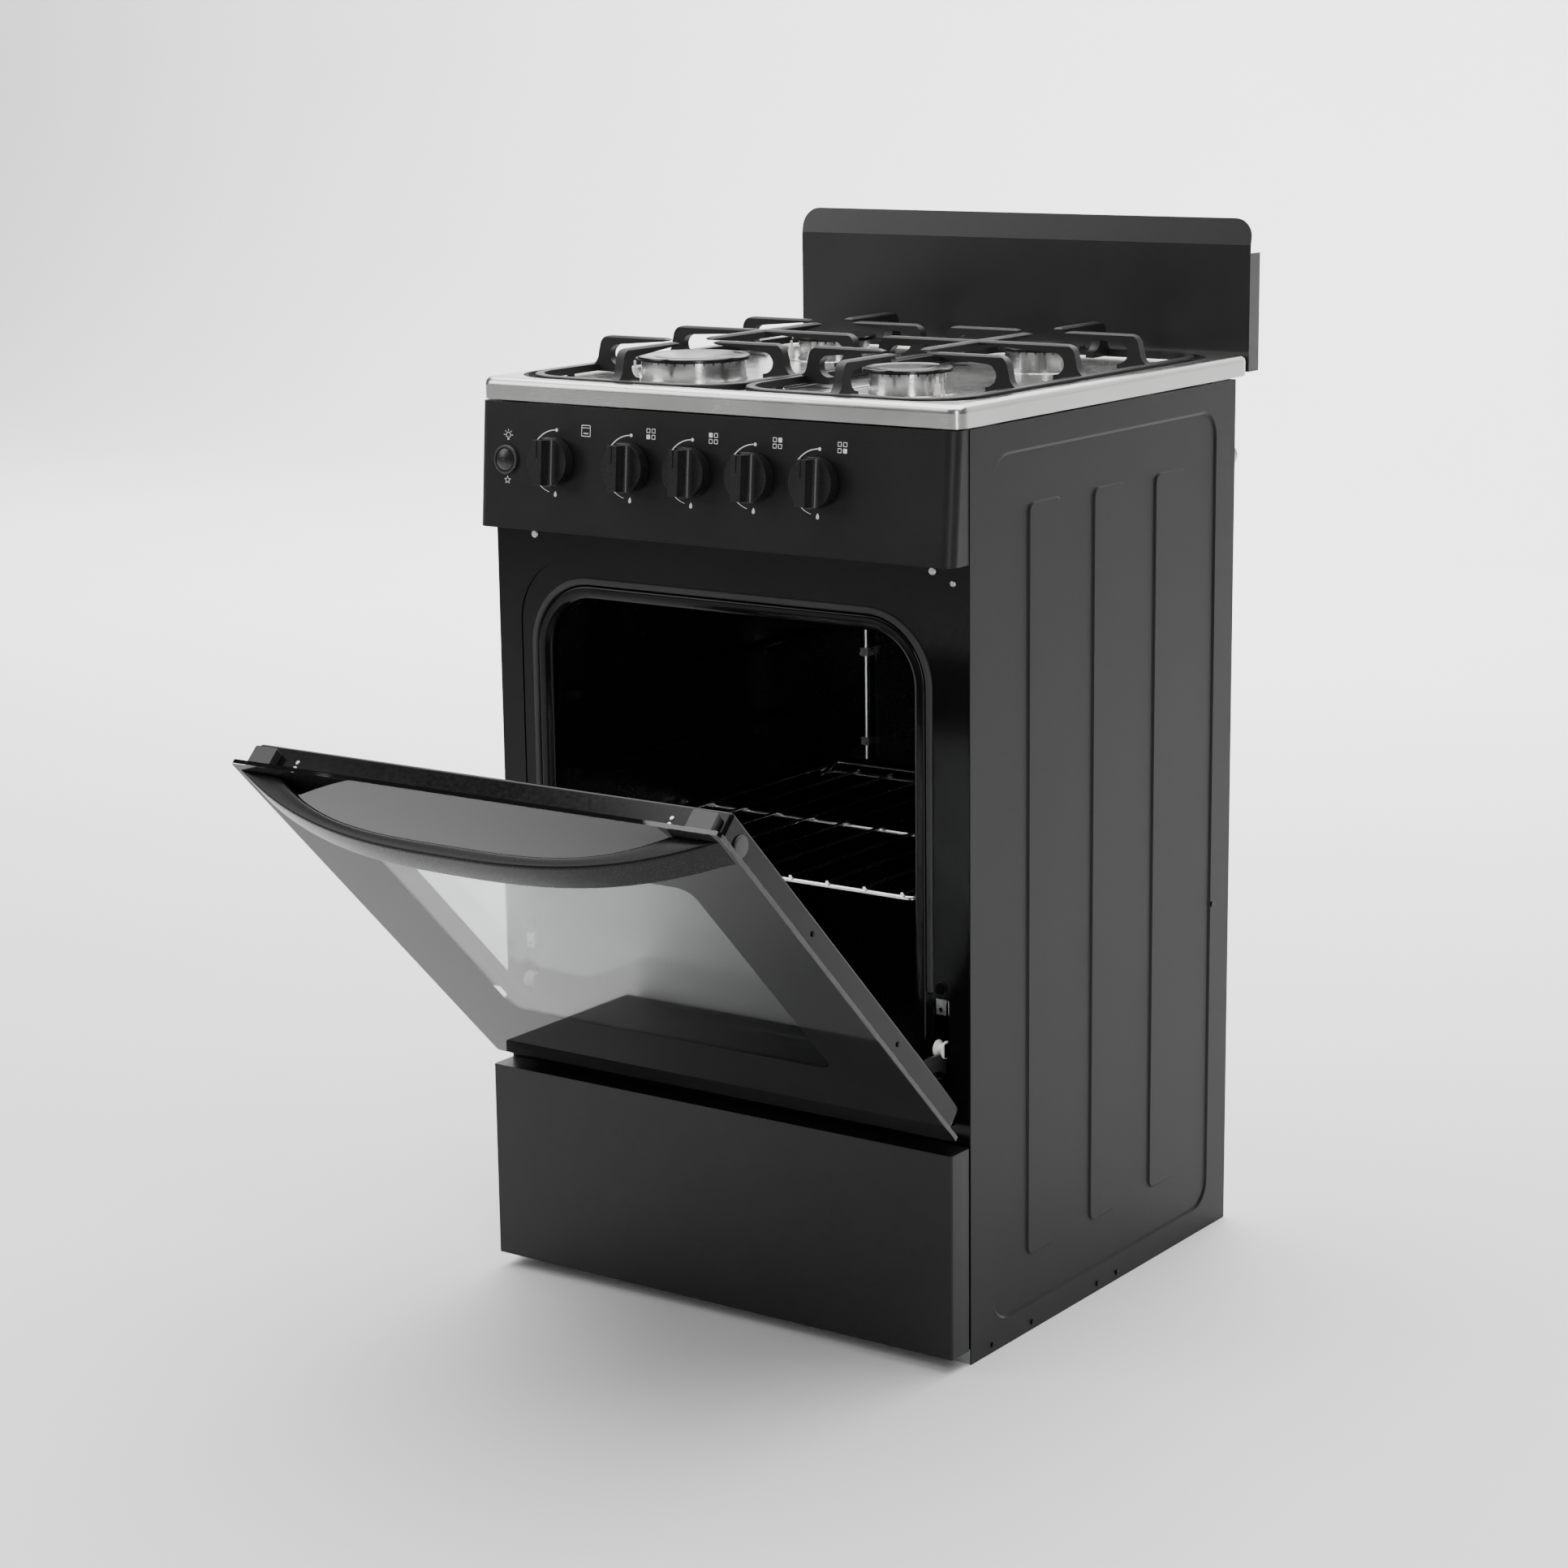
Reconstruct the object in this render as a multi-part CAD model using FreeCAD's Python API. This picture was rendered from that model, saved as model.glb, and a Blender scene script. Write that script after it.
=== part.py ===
"""Freestanding gas range, 500 mm wide: cabinet, drop-down oven door, storage drawer, four-burner hob.

Millimetres. +X is the range's right as seen from the front, -Y its front, +Z up.
The origin is on the floor, at the middle of the cabinet's side panels.
The oven door is stored half open, 45 degrees from closed.
"""

import FreeCAD, Part
import math
import os

V = FreeCAD.Vector
X_AXIS = V(1, 0, 0)
Y_AXIS = V(0, 1, 0)
Z_AXIS = V(0, 0, 1)

# ---- driving dimensions -------------------------------------------------------------
HALF_WIDTH = 250.0
FRONT = -227.7
BACK = 227.7
BODY_HEIGHT = 804.0
SHEET = 1.0
INNER_X = HALF_WIDTH - SHEET
FIT_GAP = 0.1

# hob
HOB_HALF_WIDTH = 251.0
HOB_FRONT = -244.3
HOB_BACK = 252.9
HOB_SKIRT_Z = 805.7
HOB_TOP_Z = 825.0
HOB_FLOOR_Z = 817.0
RECESS_HALF_WIDTH = 238.0
RECESS_FRONT = -233.0
RECESS_BACK = 231.0
RECESS_RADIUS = 52.0

# burners: (name, centre x, centre y, body radius, cap radius, number of flame slots)
BURNER_X = 114.0
BURNER_Y = 111.0
RAPID = {"body": 47.0, "cap": 50.5, "slots": 34}
SEMI = {"body": 33.5, "cap": 39.5, "slots": 26}
RAPID_PLACE = (-BURNER_X, -BURNER_Y)
SEMI_PLACES = [(BURNER_X, -BURNER_Y), (-BURNER_X, BURNER_Y), (BURNER_X, BURNER_Y)]
CROWN_Z = 835.5
SLOT_WIDTH = 1.5
SLOT_DEPTH = 2.6
CAP_TOP_Z = 839.0

# pan supports
GRATE_X = 115.0
GRATE_HALF_WIDTH = 112.5
GRATE_HALF_LENGTH = 228.0
GRATE_BAR = 9.0
GRATE_TOP_Z = 852.5
FINGER_TO_BURNER = 25.0

# control panel: a box whose face leans back from a deeper bottom edge
PANEL_HALF_WIDTH = 249.3
PANEL_BOTTOM_Z = 693.5
PANEL_TOP_Z = 804.3
PANEL_BOTTOM_DEPTH = 27.7
PANEL_TOP_DEPTH = 19.24
PANEL_LEAN = math.degrees(
    math.atan2(PANEL_BOTTOM_DEPTH - PANEL_TOP_DEPTH, PANEL_TOP_Z - PANEL_BOTTOM_Z)
)
KNOB_XS = {
    "oven": -162.0,
    "rear_left": -80.0,
    "front_left": -14.5,
    "front_right": 51.0,
    "rear_right": 116.5,
}
KNOB_UP = 62.0
KNOB_RADIUS = 21.5
KNOB_LIFT = 3.2
KNOB_RIM = 13.7
KNOB_FACE = 27.0
STEM_RADIUS = 4.0
ROCKER_X = -217.4
ROCKER_UP = 60.7

# oven
OVEN_HALF_WIDTH = 191.0
OVEN_TOP = 630.0
OVEN_FLOOR_Z = 246.0
BURNER_BOX_Z = 209.0
OVEN_MOUTH_Y = -217.0
OVEN_REAR_Y = 190.0
OVEN_RADIUS = 44.0
MOUTH_HALF_WIDTH = 192.0
BEAD_WIDTH = 14.0
RACK_Z = 400.0
RACK_PITCH = 38.6
SHELF_STEP = 72.0

# oven door, in its own axes: x, up from the bottom edge, out from the outer glass face
DOOR_OPEN_AT_REST = 45.0
DOOR_FACE_Y = FRONT - 32.0
DOOR_BOTTOM_Z = 215.0
DOOR_HEIGHT = 468.0
DOOR_GLASS = 4.0
DOOR_PAN_BACK = 29.5
PIVOT = V(0, DOOR_FACE_Y + 16.6, DOOR_BOTTOM_Z + 8.6)

# door hinges
ARM_X = 221.0
ARM_THICKNESS = 3.0
ARM_OUTER_RADIUS = 51.0
ARM_INNER_RADIUS = 37.0
ARM_HEAD_ANGLE = -12.0
ARM_TAIL_ANGLE = 116.0
ROLLER_GROOVE_RADIUS = 5.0
ROLLER_RIM_RADIUS = 7.6
ROLLER_WIDTH = 10.0
ROLLER_ANGLE = 16.6
ROLLER_GAP = 0.3
PIN_RADIUS = 3.0
SPRING_ANCHOR = V(ARM_X, -60.0, 216.0)
SPRING_RADIUS = 5.0
SPRING_WIRE = 0.9

# drawer
DRAWER_FRONT_Y = -256.5
DRAWER_BACK_Y = FRONT - 0.5
DRAWER_BOTTOM_Z = 13.0
DRAWER_TOP_Z = 195.2
DRAWER_HALF_WIDTH = 249.3
TRAY_HALF_WIDTH = 212.0
TRAY_REAR_Y = 170.0

# splashback
SPLASH_HALF_WIDTH = 249.0
SPLASH_Y = 254.0
SPLASH_TOP = 947.0
SPLASH_FOLD = 923.0
SPLASH_BOTTOM = 808.0
SPLASH_FLANGE = 19.0

# gas train
MANIFOLD_Y = -211.0
MANIFOLD_Z = 730.0
MANIFOLD_SIDE = 16.0
INLET_X = 226.0
INLET_RADIUS = 10.48


# ---- small helpers ------------------------------------------------------------------
def box(low, high):
    """Block between two corners."""
    size = V(*high) - V(*low)
    return Part.makeBox(size.x, size.y, size.z, V(*low))


def rounded_box(low, high, axis, radius):
    """Block with the four edges along one axis rounded."""
    block = box(low, high)
    edges = [
        edge
        for edge in block.Edges
        if edge.tangentAt(edge.FirstParameter).cross(axis).Length < 1e-6
    ]
    return block.makeFillet(radius, edges)


def cylinder(start, end, radius):
    """Round bar from one point to another."""
    run = V(*end) - V(*start)
    return Part.makeCylinder(radius, run.Length, V(*start), run)


def fuse(shapes):
    """One solid from several that touch or overlap."""
    return shapes[0].multiFuse(shapes[1:]).removeSplitter()


def cut(shape, tools):
    """Shape with every tool taken out of it."""
    return shape.cut(Part.makeCompound(tools))


def mirrored(shape):
    """The same piece on the other side of the range."""
    return shape.mirror(V(0, 0, 0), X_AXIS)


def both_sides(shape):
    """A right-hand piece with its left-hand twin."""
    return Part.makeCompound([shape, mirrored(shape)])


def prism(points, direction):
    """Straight-sided outline, extruded."""
    return Part.Face(Part.makePolygon(points + points[:1])).extrude(direction)


def rounded_wire(y0, y1, z0, z1, radius, x):
    """Rounded rectangle standing in the plane at x."""
    lows = [
        (V(x, y0 + radius, z0), V(x, y1 - radius, z0)),
        (V(x, y1, z0 + radius), V(x, y1, z1 - radius)),
        (V(x, y1 - radius, z1), V(x, y0 + radius, z1)),
        (V(x, y0, z1 - radius), V(x, y0, z0 + radius)),
    ]
    centres = [(y1, z0), (y1, z1), (y0, z1), (y0, z0)]
    bow = radius * (1 - math.sqrt(0.5))
    edges = []
    for (start, end), (cy, cz), following in zip(lows, centres, lows[1:] + lows[:1]):
        inward_y = -bow if cy == y1 else bow
        inward_z = -bow if cz == z1 else bow
        middle = V(x, cy + inward_y, cz + inward_z)
        edges.append(Part.LineSegment(start, end).toShape())
        edges.append(Part.Arc(end, middle, following[0]).toShape())
    return Part.Wire(edges)


def pressing(y0, y1, z0, z1, radius, x_wide, x_narrow, slope):
    """Rounded rectangle with sloping sides, as a press tool leaves it."""
    wide = rounded_wire(y0, y1, z0, z1, radius, x_wide)
    narrow = rounded_wire(
        y0 + slope, y1 - slope, z0 + slope, z1 - slope, radius - slope, x_narrow
    )
    return Part.makeLoft([wide, narrow], True, True)


SHANK_SHARE = 0.45
SHANK_GAP = 0.15


def screw_hole(centre, out, head_radius, depth=6.0):
    """Cutter for the hole that a screw's shank passes through."""
    start = centre + out
    return Part.makeCylinder(head_radius * SHANK_SHARE + SHANK_GAP, depth + 1, start, -out)


def screw(centre, out, head_radius, head_height, length):
    """Pan-head screw whose head stands on a face at centre, pointing out."""
    head = Part.makeCylinder(head_radius, head_height, centre, out)
    rims = [e for e in head.Edges if abs(e.Length - 2 * math.pi * head_radius) < 1e-3]
    far = max(rims, key=lambda e: (e.CenterOfMass - centre).dot(out))
    head = head.makeFillet(head_height * 0.6, [far])
    shank = Part.makeCylinder(head_radius * SHANK_SHARE, length, centre, -out)
    slot_depth = head_height * 0.5
    bars = []
    for turn in (0, 90):
        bar = Part.makeBox(head_radius * 1.2, head_radius * 0.26, slot_depth * 2)
        bar.translate(V(-head_radius * 0.6, -head_radius * 0.13, -slot_depth))
        frame = FreeCAD.Placement(V(0, 0, 0), FreeCAD.Rotation(Z_AXIS, turn))
        bar.Placement = frame
        bars.append(bar)
    turn_out = FreeCAD.Rotation(Z_AXIS, out)
    recess = Part.makeCompound(bars)
    recess.Placement = FreeCAD.Placement(centre + out * head_height, turn_out)
    return fuse([head, shank]).cut(recess)


def save(name, shape):
    """Write one sub-part."""
    shape.exportStep("parts/" + name + ".step")


# ---- local frames -------------------------------------------------------------------
def on_panel(shape):
    """From control-panel axes (x, up the face, out of it) to the range's axes."""
    placed = shape.copy()
    placed.rotate(V(0, 0, 0), X_AXIS, 90 - PANEL_LEAN)
    placed.translate(V(0, FRONT - PANEL_BOTTOM_DEPTH, PANEL_BOTTOM_Z))
    return placed


def on_door(shape):
    """From door axes (x, up the door, out of it) to the range's axes, half open."""
    placed = shape.copy()
    placed.rotate(V(0, 0, 0), X_AXIS, 90)
    placed.translate(V(0, DOOR_FACE_Y, DOOR_BOTTOM_Z))
    return opened(placed)


def opened(shape):
    """A piece drawn with the door closed, turned to where the door is stored."""
    turned = shape.copy()
    turned.rotate(PIVOT, X_AXIS, DOOR_OPEN_AT_REST)
    return turned


def around_pivot(radius, angle, x=ARM_X):
    """Point at a radius from the door's axis; the angle runs from up towards the back."""
    turn = math.radians(angle)
    return V(x, PIVOT.y + radius * math.sin(turn), PIVOT.z + radius * math.cos(turn))


# ---- cabinet ------------------------------------------------------------------------
SIDE_SCREW = {"head_radius": 2.6, "places": [(FRONT + d, 7.0) for d in (35, 101, 215, 250)] + [(195.0, 317.0)]}
FRONT_SCREWS = [
    (-206.0, 686.0, 3.6),
    (214.0, 686.0, 3.6),
    (234.0, 677.0, 2.8),
    (-ARM_X, 331.0, 5.5),
    (ARM_X, 331.0, 5.5),
]
BACK_SCREW = {"head_radius": 3.4, "x": 242.0, "heights": (60.0, 250.0, 440.0, 640.0, 780.0)}

RIB_PITCH = 107.5
RIB_HALF_WIDTH = 28.0
RIB_BOTTOM = 68.0
RIB_TOP = 735.0
PRESS_DEPTH = 1.6
FIELD = (FRONT + 36, FRONT + 420, 24.0, 780.0)
FLANGE = 13.0


def side_panel_right():
    """Sheet with folded edges, one big pressed field and three upright ribs in it."""
    skin = box((INNER_X, FRONT, 0), (HALF_WIDTH, BACK, BODY_HEIGHT))
    y0, y1, z0, z1 = FIELD
    low = HALF_WIDTH - PRESS_DEPTH
    field_back = pressing(y0 - SHEET, y1 + SHEET, z0 - SHEET, z1 + SHEET, 26, INNER_X, low - SHEET, 2.5)
    field_face = pressing(y0, y1, z0, z1, 25, HALF_WIDTH, low, 2.5)
    panel = fuse([skin, field_back]).cut(field_face)
    for index in (-1, 0, 1):
        middle = index * RIB_PITCH
        a, b = middle - RIB_HALF_WIDTH, middle + RIB_HALF_WIDTH
        rib = pressing(a, b, RIB_BOTTOM, RIB_TOP, 10, low - SHEET, HALF_WIDTH, 2.6)
        hollow = pressing(a + 1, b - 1, RIB_BOTTOM + 1, RIB_TOP - 1, 9, low - SHEET, INNER_X, 2.6)
        panel = fuse([panel, rib]).cut(hollow)
    inner = HALF_WIDTH - FLANGE
    front_fold = box((inner, FRONT + 1.1, 45), (INNER_X, FRONT + 2.1, BODY_HEIGHT))
    rear_fold = box((inner, BACK - SHEET, 45), (INNER_X, BACK, BODY_HEIGHT))
    top_fold = box((inner, FRONT + 2.1, BODY_HEIGHT - SHEET), (INNER_X, BACK - 2.2, BODY_HEIGHT))
    holes = [
        screw_hole(V(HALF_WIDTH, y, z), X_AXIS, SIDE_SCREW["head_radius"]) for y, z in SIDE_SCREW["places"]
    ]
    for z in BACK_SCREW["heights"]:
        holes.append(screw_hole(V(BACK_SCREW["x"], BACK, z), Y_AXIS, BACK_SCREW["head_radius"], 1.5))
    holes.append(screw_hole(V(234.0, FRONT, 677.0), V(0, -1, 0), 2.8))
    return cut(fuse([panel, front_fold, rear_fold, top_fold]), holes)


BASE_REACH = 30.0
BASE_HEIGHT = 20.0


def base_frame():
    """Folded ring that the range stands on: flat flange below, upright wall outside."""
    x = INNER_X - FIT_GAP
    y0, y1 = FRONT + 1.1, BACK - 2.2
    block = box((-x, y0, 0), (x, y1, BASE_HEIGHT))
    hollow = box((-x + SHEET, y0 + SHEET, SHEET), (x - SHEET, y1 - SHEET, BASE_HEIGHT))
    window = box((-x + BASE_REACH, y0 + BASE_REACH, -1), (x - BASE_REACH, y1 - BASE_REACH, 2))
    ring = cut(block, [hollow, window])
    holes = [
        screw_hole(V(x, y, z), X_AXIS, SIDE_SCREW["head_radius"], 3)
        for y, z in SIDE_SCREW["places"]
        if z < BASE_HEIGHT
    ]
    return cut(ring, holes + [mirrored(hole) for hole in holes])


GLAND_X = -200.0
GLAND_Z = 712.0


def rear_panel():
    """Back cover between the side panels' folds, ribbed, with vents and service holes."""
    x = INNER_X - FIT_GAP
    y0, y1 = BACK - 2.1, BACK - 1.1
    panel = box((-x, y0, 0), (x, y1, BODY_HEIGHT))
    for side in (-1, 1):
        low, high = sorted((side * 30.0, side * 205.0))
        for z0, z1 in ((60.0, 300.0), (330.0, 560.0)):
            field = rounded_box((low, y0 - 2, z0), (high, y1, z1), Y_AXIS, 18)
            hollow = rounded_box((low + 1, y0 - 1, z0 + 1), (high - 1, y1 + 1, z1 - 1), Y_AXIS, 17)
            panel = fuse([panel, field]).cut(hollow)
    vents = []
    for row in range(4):
        for column in range(-4, 5):
            middle = column * 36.0
            z = 610.0 + row * 16.0
            vents.append(rounded_box((middle - 13, y0 - 1, z - 3), (middle + 13, y1 + 1, z + 3), Y_AXIS, 2.9))
    inlet = cylinder((INLET_X, y0 - 1, MANIFOLD_Z), (INLET_X, y1 + 1, MANIFOLD_Z), 9.0)
    gland = cylinder((GLAND_X, y0 - 1, GLAND_Z), (GLAND_X, y1 + 1, GLAND_Z), 8.2)
    return cut(panel, vents + [inlet, gland])


def cord_gland():
    """Bush in the back cover that the mains lead passes through."""
    y = BACK - 1.1
    collar = cylinder((GLAND_X, y, GLAND_Z), (GLAND_X, y + 6, GLAND_Z), 11.0)
    neck = cylinder((GLAND_X, y - 5, GLAND_Z), (GLAND_X, y, GLAND_Z), 8.0)
    bore = cylinder((GLAND_X, y - 6, GLAND_Z), (GLAND_X, y + 7, GLAND_Z), 4.2)
    return fuse([collar, neck]).cut(bore)


SLOT_LOW = 250.0
SLOT_HIGH = 322.0
SLOT_HALF = 7.6
BEAD_PROUD = 1.4
SEAL_INNER = 206.4
SEAL_WIDTH = 6.4
SEAL_END_Z = 326.0
STEP_HALF_WIDTH = 225.0
STEP_TOP = 666.0
STEP_BOTTOM = 338.0


def arch(half_width, top, bottom, y0, y1, radius):
    """Block with an arched top, for the seal and its groove."""
    tall = rounded_box((-half_width, y0, bottom - 100), (half_width, y1, top), Y_AXIS, radius)
    return tall.common(box((-half_width, y0, bottom), (half_width, y1, top)))


def front_frame():
    """Enamelled face of the cabinet: stepped stiles, rolled oven mouth, seal groove."""
    x = INNER_X - FIT_GAP
    plate = box((-x, FRONT, 14), (x, FRONT + SHEET, BODY_HEIGHT))
    step = rounded_box(
        (-STEP_HALF_WIDTH, FRONT - 1, STEP_BOTTOM), (STEP_HALF_WIDTH, FRONT + 2, STEP_TOP), Y_AXIS, 60
    )
    plate = plate.cut(step)
    sunk = rounded_box(
        (-STEP_HALF_WIDTH - 1, FRONT + SHEET, STEP_BOTTOM - 1),
        (STEP_HALF_WIDTH + 1, FRONT + 2 * SHEET, STEP_TOP + 1),
        Y_AXIS,
        61,
    )
    rim = MOUTH_HALF_WIDTH + BEAD_WIDTH
    low, high = OVEN_FLOOR_Z - BEAD_WIDTH, OVEN_TOP + BEAD_WIDTH
    outer = rounded_box((-rim, FRONT - BEAD_PROUD, low), (rim, OVEN_MOUTH_Y, high), Y_AXIS, 59)
    front_edges = [e for e in outer.Edges if e.BoundBox.YMax < FRONT - BEAD_PROUD + 0.01]
    outer = outer.makeFillet(3.0, front_edges)
    mouth = rounded_box(
        (-MOUTH_HALF_WIDTH, FRONT - 5, OVEN_FLOOR_Z), (MOUTH_HALF_WIDTH, 0, OVEN_TOP), Y_AXIS, 45
    )
    bead = outer.cut(mouth)
    inner_edges = [
        e
        for e in bead.Edges
        if e.BoundBox.YMax < FRONT - BEAD_PROUD + 0.01
        and e.BoundBox.YMin > FRONT - BEAD_PROUD - 0.01
        and e.BoundBox.XMax < MOUTH_HALF_WIDTH + 0.1
        and e.BoundBox.XMin > -MOUTH_HALF_WIDTH - 0.1
        and e.BoundBox.ZMax < OVEN_TOP + 0.1
        and e.BoundBox.ZMin > OVEN_FLOOR_Z - 0.1
    ]
    bead = bead.makeFillet(8.0, inner_edges)
    hollow = rounded_box(
        (-rim + 1.2, FRONT + 8, low + 1.2), (rim - 1.2, OVEN_MOUTH_Y + 1, high - 1.2), Y_AXIS, 57.8
    ).cut(
        rounded_box(
            (-MOUTH_HALF_WIDTH - 1.2, FRONT, OVEN_FLOOR_Z - 1.2),
            (MOUTH_HALF_WIDTH + 1.2, 0, OVEN_TOP + 1.2),
            Y_AXIS,
            46.2,
        )
    )
    bead = bead.cut(hollow)
    opening = rounded_box((-rim + 1, FRONT - 5, low + 1), (rim - 1, 0, high - 1), Y_AXIS, 58)
    trough = arch(SEAL_INNER + SEAL_WIDTH + 1, high + SEAL_WIDTH + 1.4, SEAL_END_Z - 2, FRONT + SHEET, FRONT + 7, 66)
    groove = arch(SEAL_INNER + SEAL_WIDTH, high + SEAL_WIDTH + 0.4, SEAL_END_Z - 1, FRONT - 1, FRONT + 6, 65)
    frame = fuse([plate, sunk, trough]).cut(groove).cut(opening)
    frame = fuse([frame, bead])
    holes = [
        rounded_box((-230, FRONT - 1, 22), (230, FRONT + 3, 188), Y_AXIS, 6),
        rounded_box((-236, FRONT - 1, 702), (236, FRONT + 3, 794), Y_AXIS, 8),
    ]
    for side in (-1, 1):
        low_x, high_x = side * ARM_X - SLOT_HALF, side * ARM_X + SLOT_HALF
        holes.append(rounded_box((low_x, FRONT - 1, SLOT_LOW), (high_x, FRONT + 3, SLOT_HIGH), Y_AXIS, 3))
        holes.append(box((side * ARM_X - 13, FRONT - 1, 212), (side * ARM_X + 13, FRONT + 3, 236)))
    for x, z, head_radius in FRONT_SCREWS:
        holes.append(screw_hole(V(x, FRONT, z), V(0, -1, 0), head_radius))
    return cut(frame, holes)


def door_seal():
    """Flexible gasket in the groove over the top and down both sides of the mouth."""
    inner = SEAL_INNER
    top = OVEN_TOP + BEAD_WIDTH
    y0, y1 = FRONT - 1.4, FRONT + 5.8
    outside = arch(inner + SEAL_WIDTH - 0.2, top + SEAL_WIDTH + 0.2, SEAL_END_Z, y0, y1, 64.8)
    inside = arch(inner, top + 0.4, SEAL_END_Z - 5, y0 - 1, y1 + 1, 59.4)
    seal = outside.cut(inside)
    front_edges = [
        e for e in seal.Edges if e.BoundBox.YMax < y0 + 0.01 and e.BoundBox.ZMax > SEAL_END_Z + 1
    ]
    return seal.makeFillet(2.0, front_edges)


RUNNER_REACH = 9.0
RUNNER_FRONT = -200.0
RUNNER_BACK = 182.0
RACK_GAP = 0.4
LAMP_X = OVEN_HALF_WIDTH - 9.0
LAMP_Y = 120.0
LAMP_Z = 590.0
OVEN_BURNER_Y = -15.0
OVEN_BURNER_Z = 228.0
FEED_END_X = -172.0


def oven_liner():
    """Oven box: wrapped sheet with pressed shelf runners and a front apron below the mouth."""
    x, low, high = OVEN_HALF_WIDTH, BURNER_BOX_Z, OVEN_TOP
    outer = rounded_box((-x - 1, OVEN_MOUTH_Y, low - 1), (x + 1, OVEN_REAR_Y, high + 1), Y_AXIS, 45)
    inner = rounded_box((-x, OVEN_MOUTH_Y - 1, low), (x, OVEN_REAR_Y + 1, high), Y_AXIS, 44)
    apron = inner.common(box((-x, OVEN_MOUTH_Y, low), (x, OVEN_MOUTH_Y + 1, OVEN_FLOOR_Z - 3)))
    pieces = [outer.cut(inner), apron]
    for level in range(3):
        z = RACK_Z - FRAME_WIRE - RACK_GAP + level * SHELF_STEP
        for side in (-1, 1):
            inward = side * (x - RUNNER_REACH)
            low_x, high_x = sorted((inward, side * (x + 0.5)))
            runner = box((low_x, RUNNER_FRONT, z - 7), (high_x, RUNNER_BACK, z))
            crest = [
                e
                for e in runner.Edges
                if abs(e.CenterOfMass.x - inward) < 0.01 and e.Length > 100
            ]
            pieces.append(runner.makeFillet(2.4, crest))
    ledge = box((x - 8, OVEN_MOUTH_Y + 6, OVEN_FLOOR_Z - 3.2), (x - 0.8, OVEN_REAR_Y - 4, OVEN_FLOOR_Z - 2))
    pieces += [ledge, mirrored(ledge)]
    lamp_hole = cylinder((LAMP_X, LAMP_Y, LAMP_Z), (LAMP_X + 20, LAMP_Y, LAMP_Z), 17.5)
    feed_hole = cylinder((-x - 3, OVEN_BURNER_Y, OVEN_BURNER_Z), (FEED_END_X, OVEN_BURNER_Y, OVEN_BURNER_Z), 12)
    return cut(fuse(pieces), [lamp_hole, feed_hole])


def oven_back_wall():
    """Rear wall of the oven, closing the wrapped sheet, with a flue opening near the top."""
    x, low, high = OVEN_HALF_WIDTH, BURNER_BOX_Z, OVEN_TOP
    wall = rounded_box((-x - 1, OVEN_REAR_Y, low - 1), (x + 1, OVEN_REAR_Y + 1, high + 1), Y_AXIS, 45)
    flues = [
        rounded_box((n * 34 - 12, OVEN_REAR_Y - 1, 600), (n * 34 + 12, OVEN_REAR_Y + 2, 606), Y_AXIS, 2.9)
        for n in (-2, -1, 0, 1, 2)
    ]
    return cut(wall, flues)


def oven_floor_plate():
    """Lift-out floor above the burner, with heat slots along both sides and the rear."""
    x = OVEN_HALF_WIDTH - 4
    plate = rounded_box(
        (-x, OVEN_MOUTH_Y + 3, OVEN_FLOOR_Z - 2), (x, OVEN_REAR_Y - 3, OVEN_FLOOR_Z - 0.6), Z_AXIS, 12
    )
    slots = []
    for row in range(8):
        y = -150.0 + row * 40
        for side in (-1, 1):
            middle = side * (x - 18)
            slots.append(
                rounded_box((middle - 5, y - 13, OVEN_FLOOR_Z - 4), (middle + 5, y + 13, OVEN_FLOOR_Z + 2), Z_AXIS, 4.9)
            )
    return cut(plate, slots)


def oven_burner():
    """Straight tube burner across the oven, two rows of ports, closed at the far end."""
    start, end = -165.0, 150.0
    outer = cylinder((start, OVEN_BURNER_Y, OVEN_BURNER_Z), (end, OVEN_BURNER_Y, OVEN_BURNER_Z), 11.0)
    inner = cylinder((start - 1, OVEN_BURNER_Y, OVEN_BURNER_Z), (end - 1.2, OVEN_BURNER_Y, OVEN_BURNER_Z), 9.8)
    ports = []
    for n in range(14):
        x = -110.0 + n * 18
        for lean in (-8, 8):
            port = cylinder((x, OVEN_BURNER_Y, OVEN_BURNER_Z), (x, OVEN_BURNER_Y + lean, OVEN_BURNER_Z + 12), 1.4)
            ports.append(port)
    feet = []
    for x in (-140.0, 135.0):
        foot = box((x - 6, OVEN_BURNER_Y - 10, BURNER_BOX_Z), (x + 6, OVEN_BURNER_Y + 10, OVEN_BURNER_Z - 6))
        feet.append(foot.cut(inner))
    return fuse([outer.cut(inner)] + feet).cut(Part.makeCompound(ports))


BULB_X = -129.0
BULB_TOP = 545.0
BULB_BOTTOM = 416.0


def oven_insulation():
    """Mineral-wool wrap round the oven box and behind it."""
    gap, thick = 1.2, 20.0
    x, low, high = OVEN_HALF_WIDTH + gap, BURNER_BOX_Z - gap, OVEN_TOP + gap
    outer = rounded_box(
        (-x - thick, OVEN_MOUTH_Y + 12, low - 12), (x + thick, OVEN_REAR_Y + gap + thick, high + thick), Y_AXIS, 50
    )
    inner = rounded_box((-x, OVEN_MOUTH_Y, low), (x, OVEN_REAR_Y + gap, high), Y_AXIS, 45)
    lamp_hole = cylinder((LAMP_X, LAMP_Y, LAMP_Z), (LAMP_X + 60, LAMP_Y, LAMP_Z), 22.0)
    feed_hole = cylinder((-x - 30, OVEN_BURNER_Y, OVEN_BURNER_Z), (FEED_END_X, OVEN_BURNER_Y, OVEN_BURNER_Z), 12)
    bulb_hole = cylinder((BULB_X, OVEN_REAR_Y, BULB_TOP), (BULB_X, OVEN_REAR_Y + 40, BULB_TOP), 8)
    return cut(outer, [inner, lamp_hole, feed_hole, bulb_hole])


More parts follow.
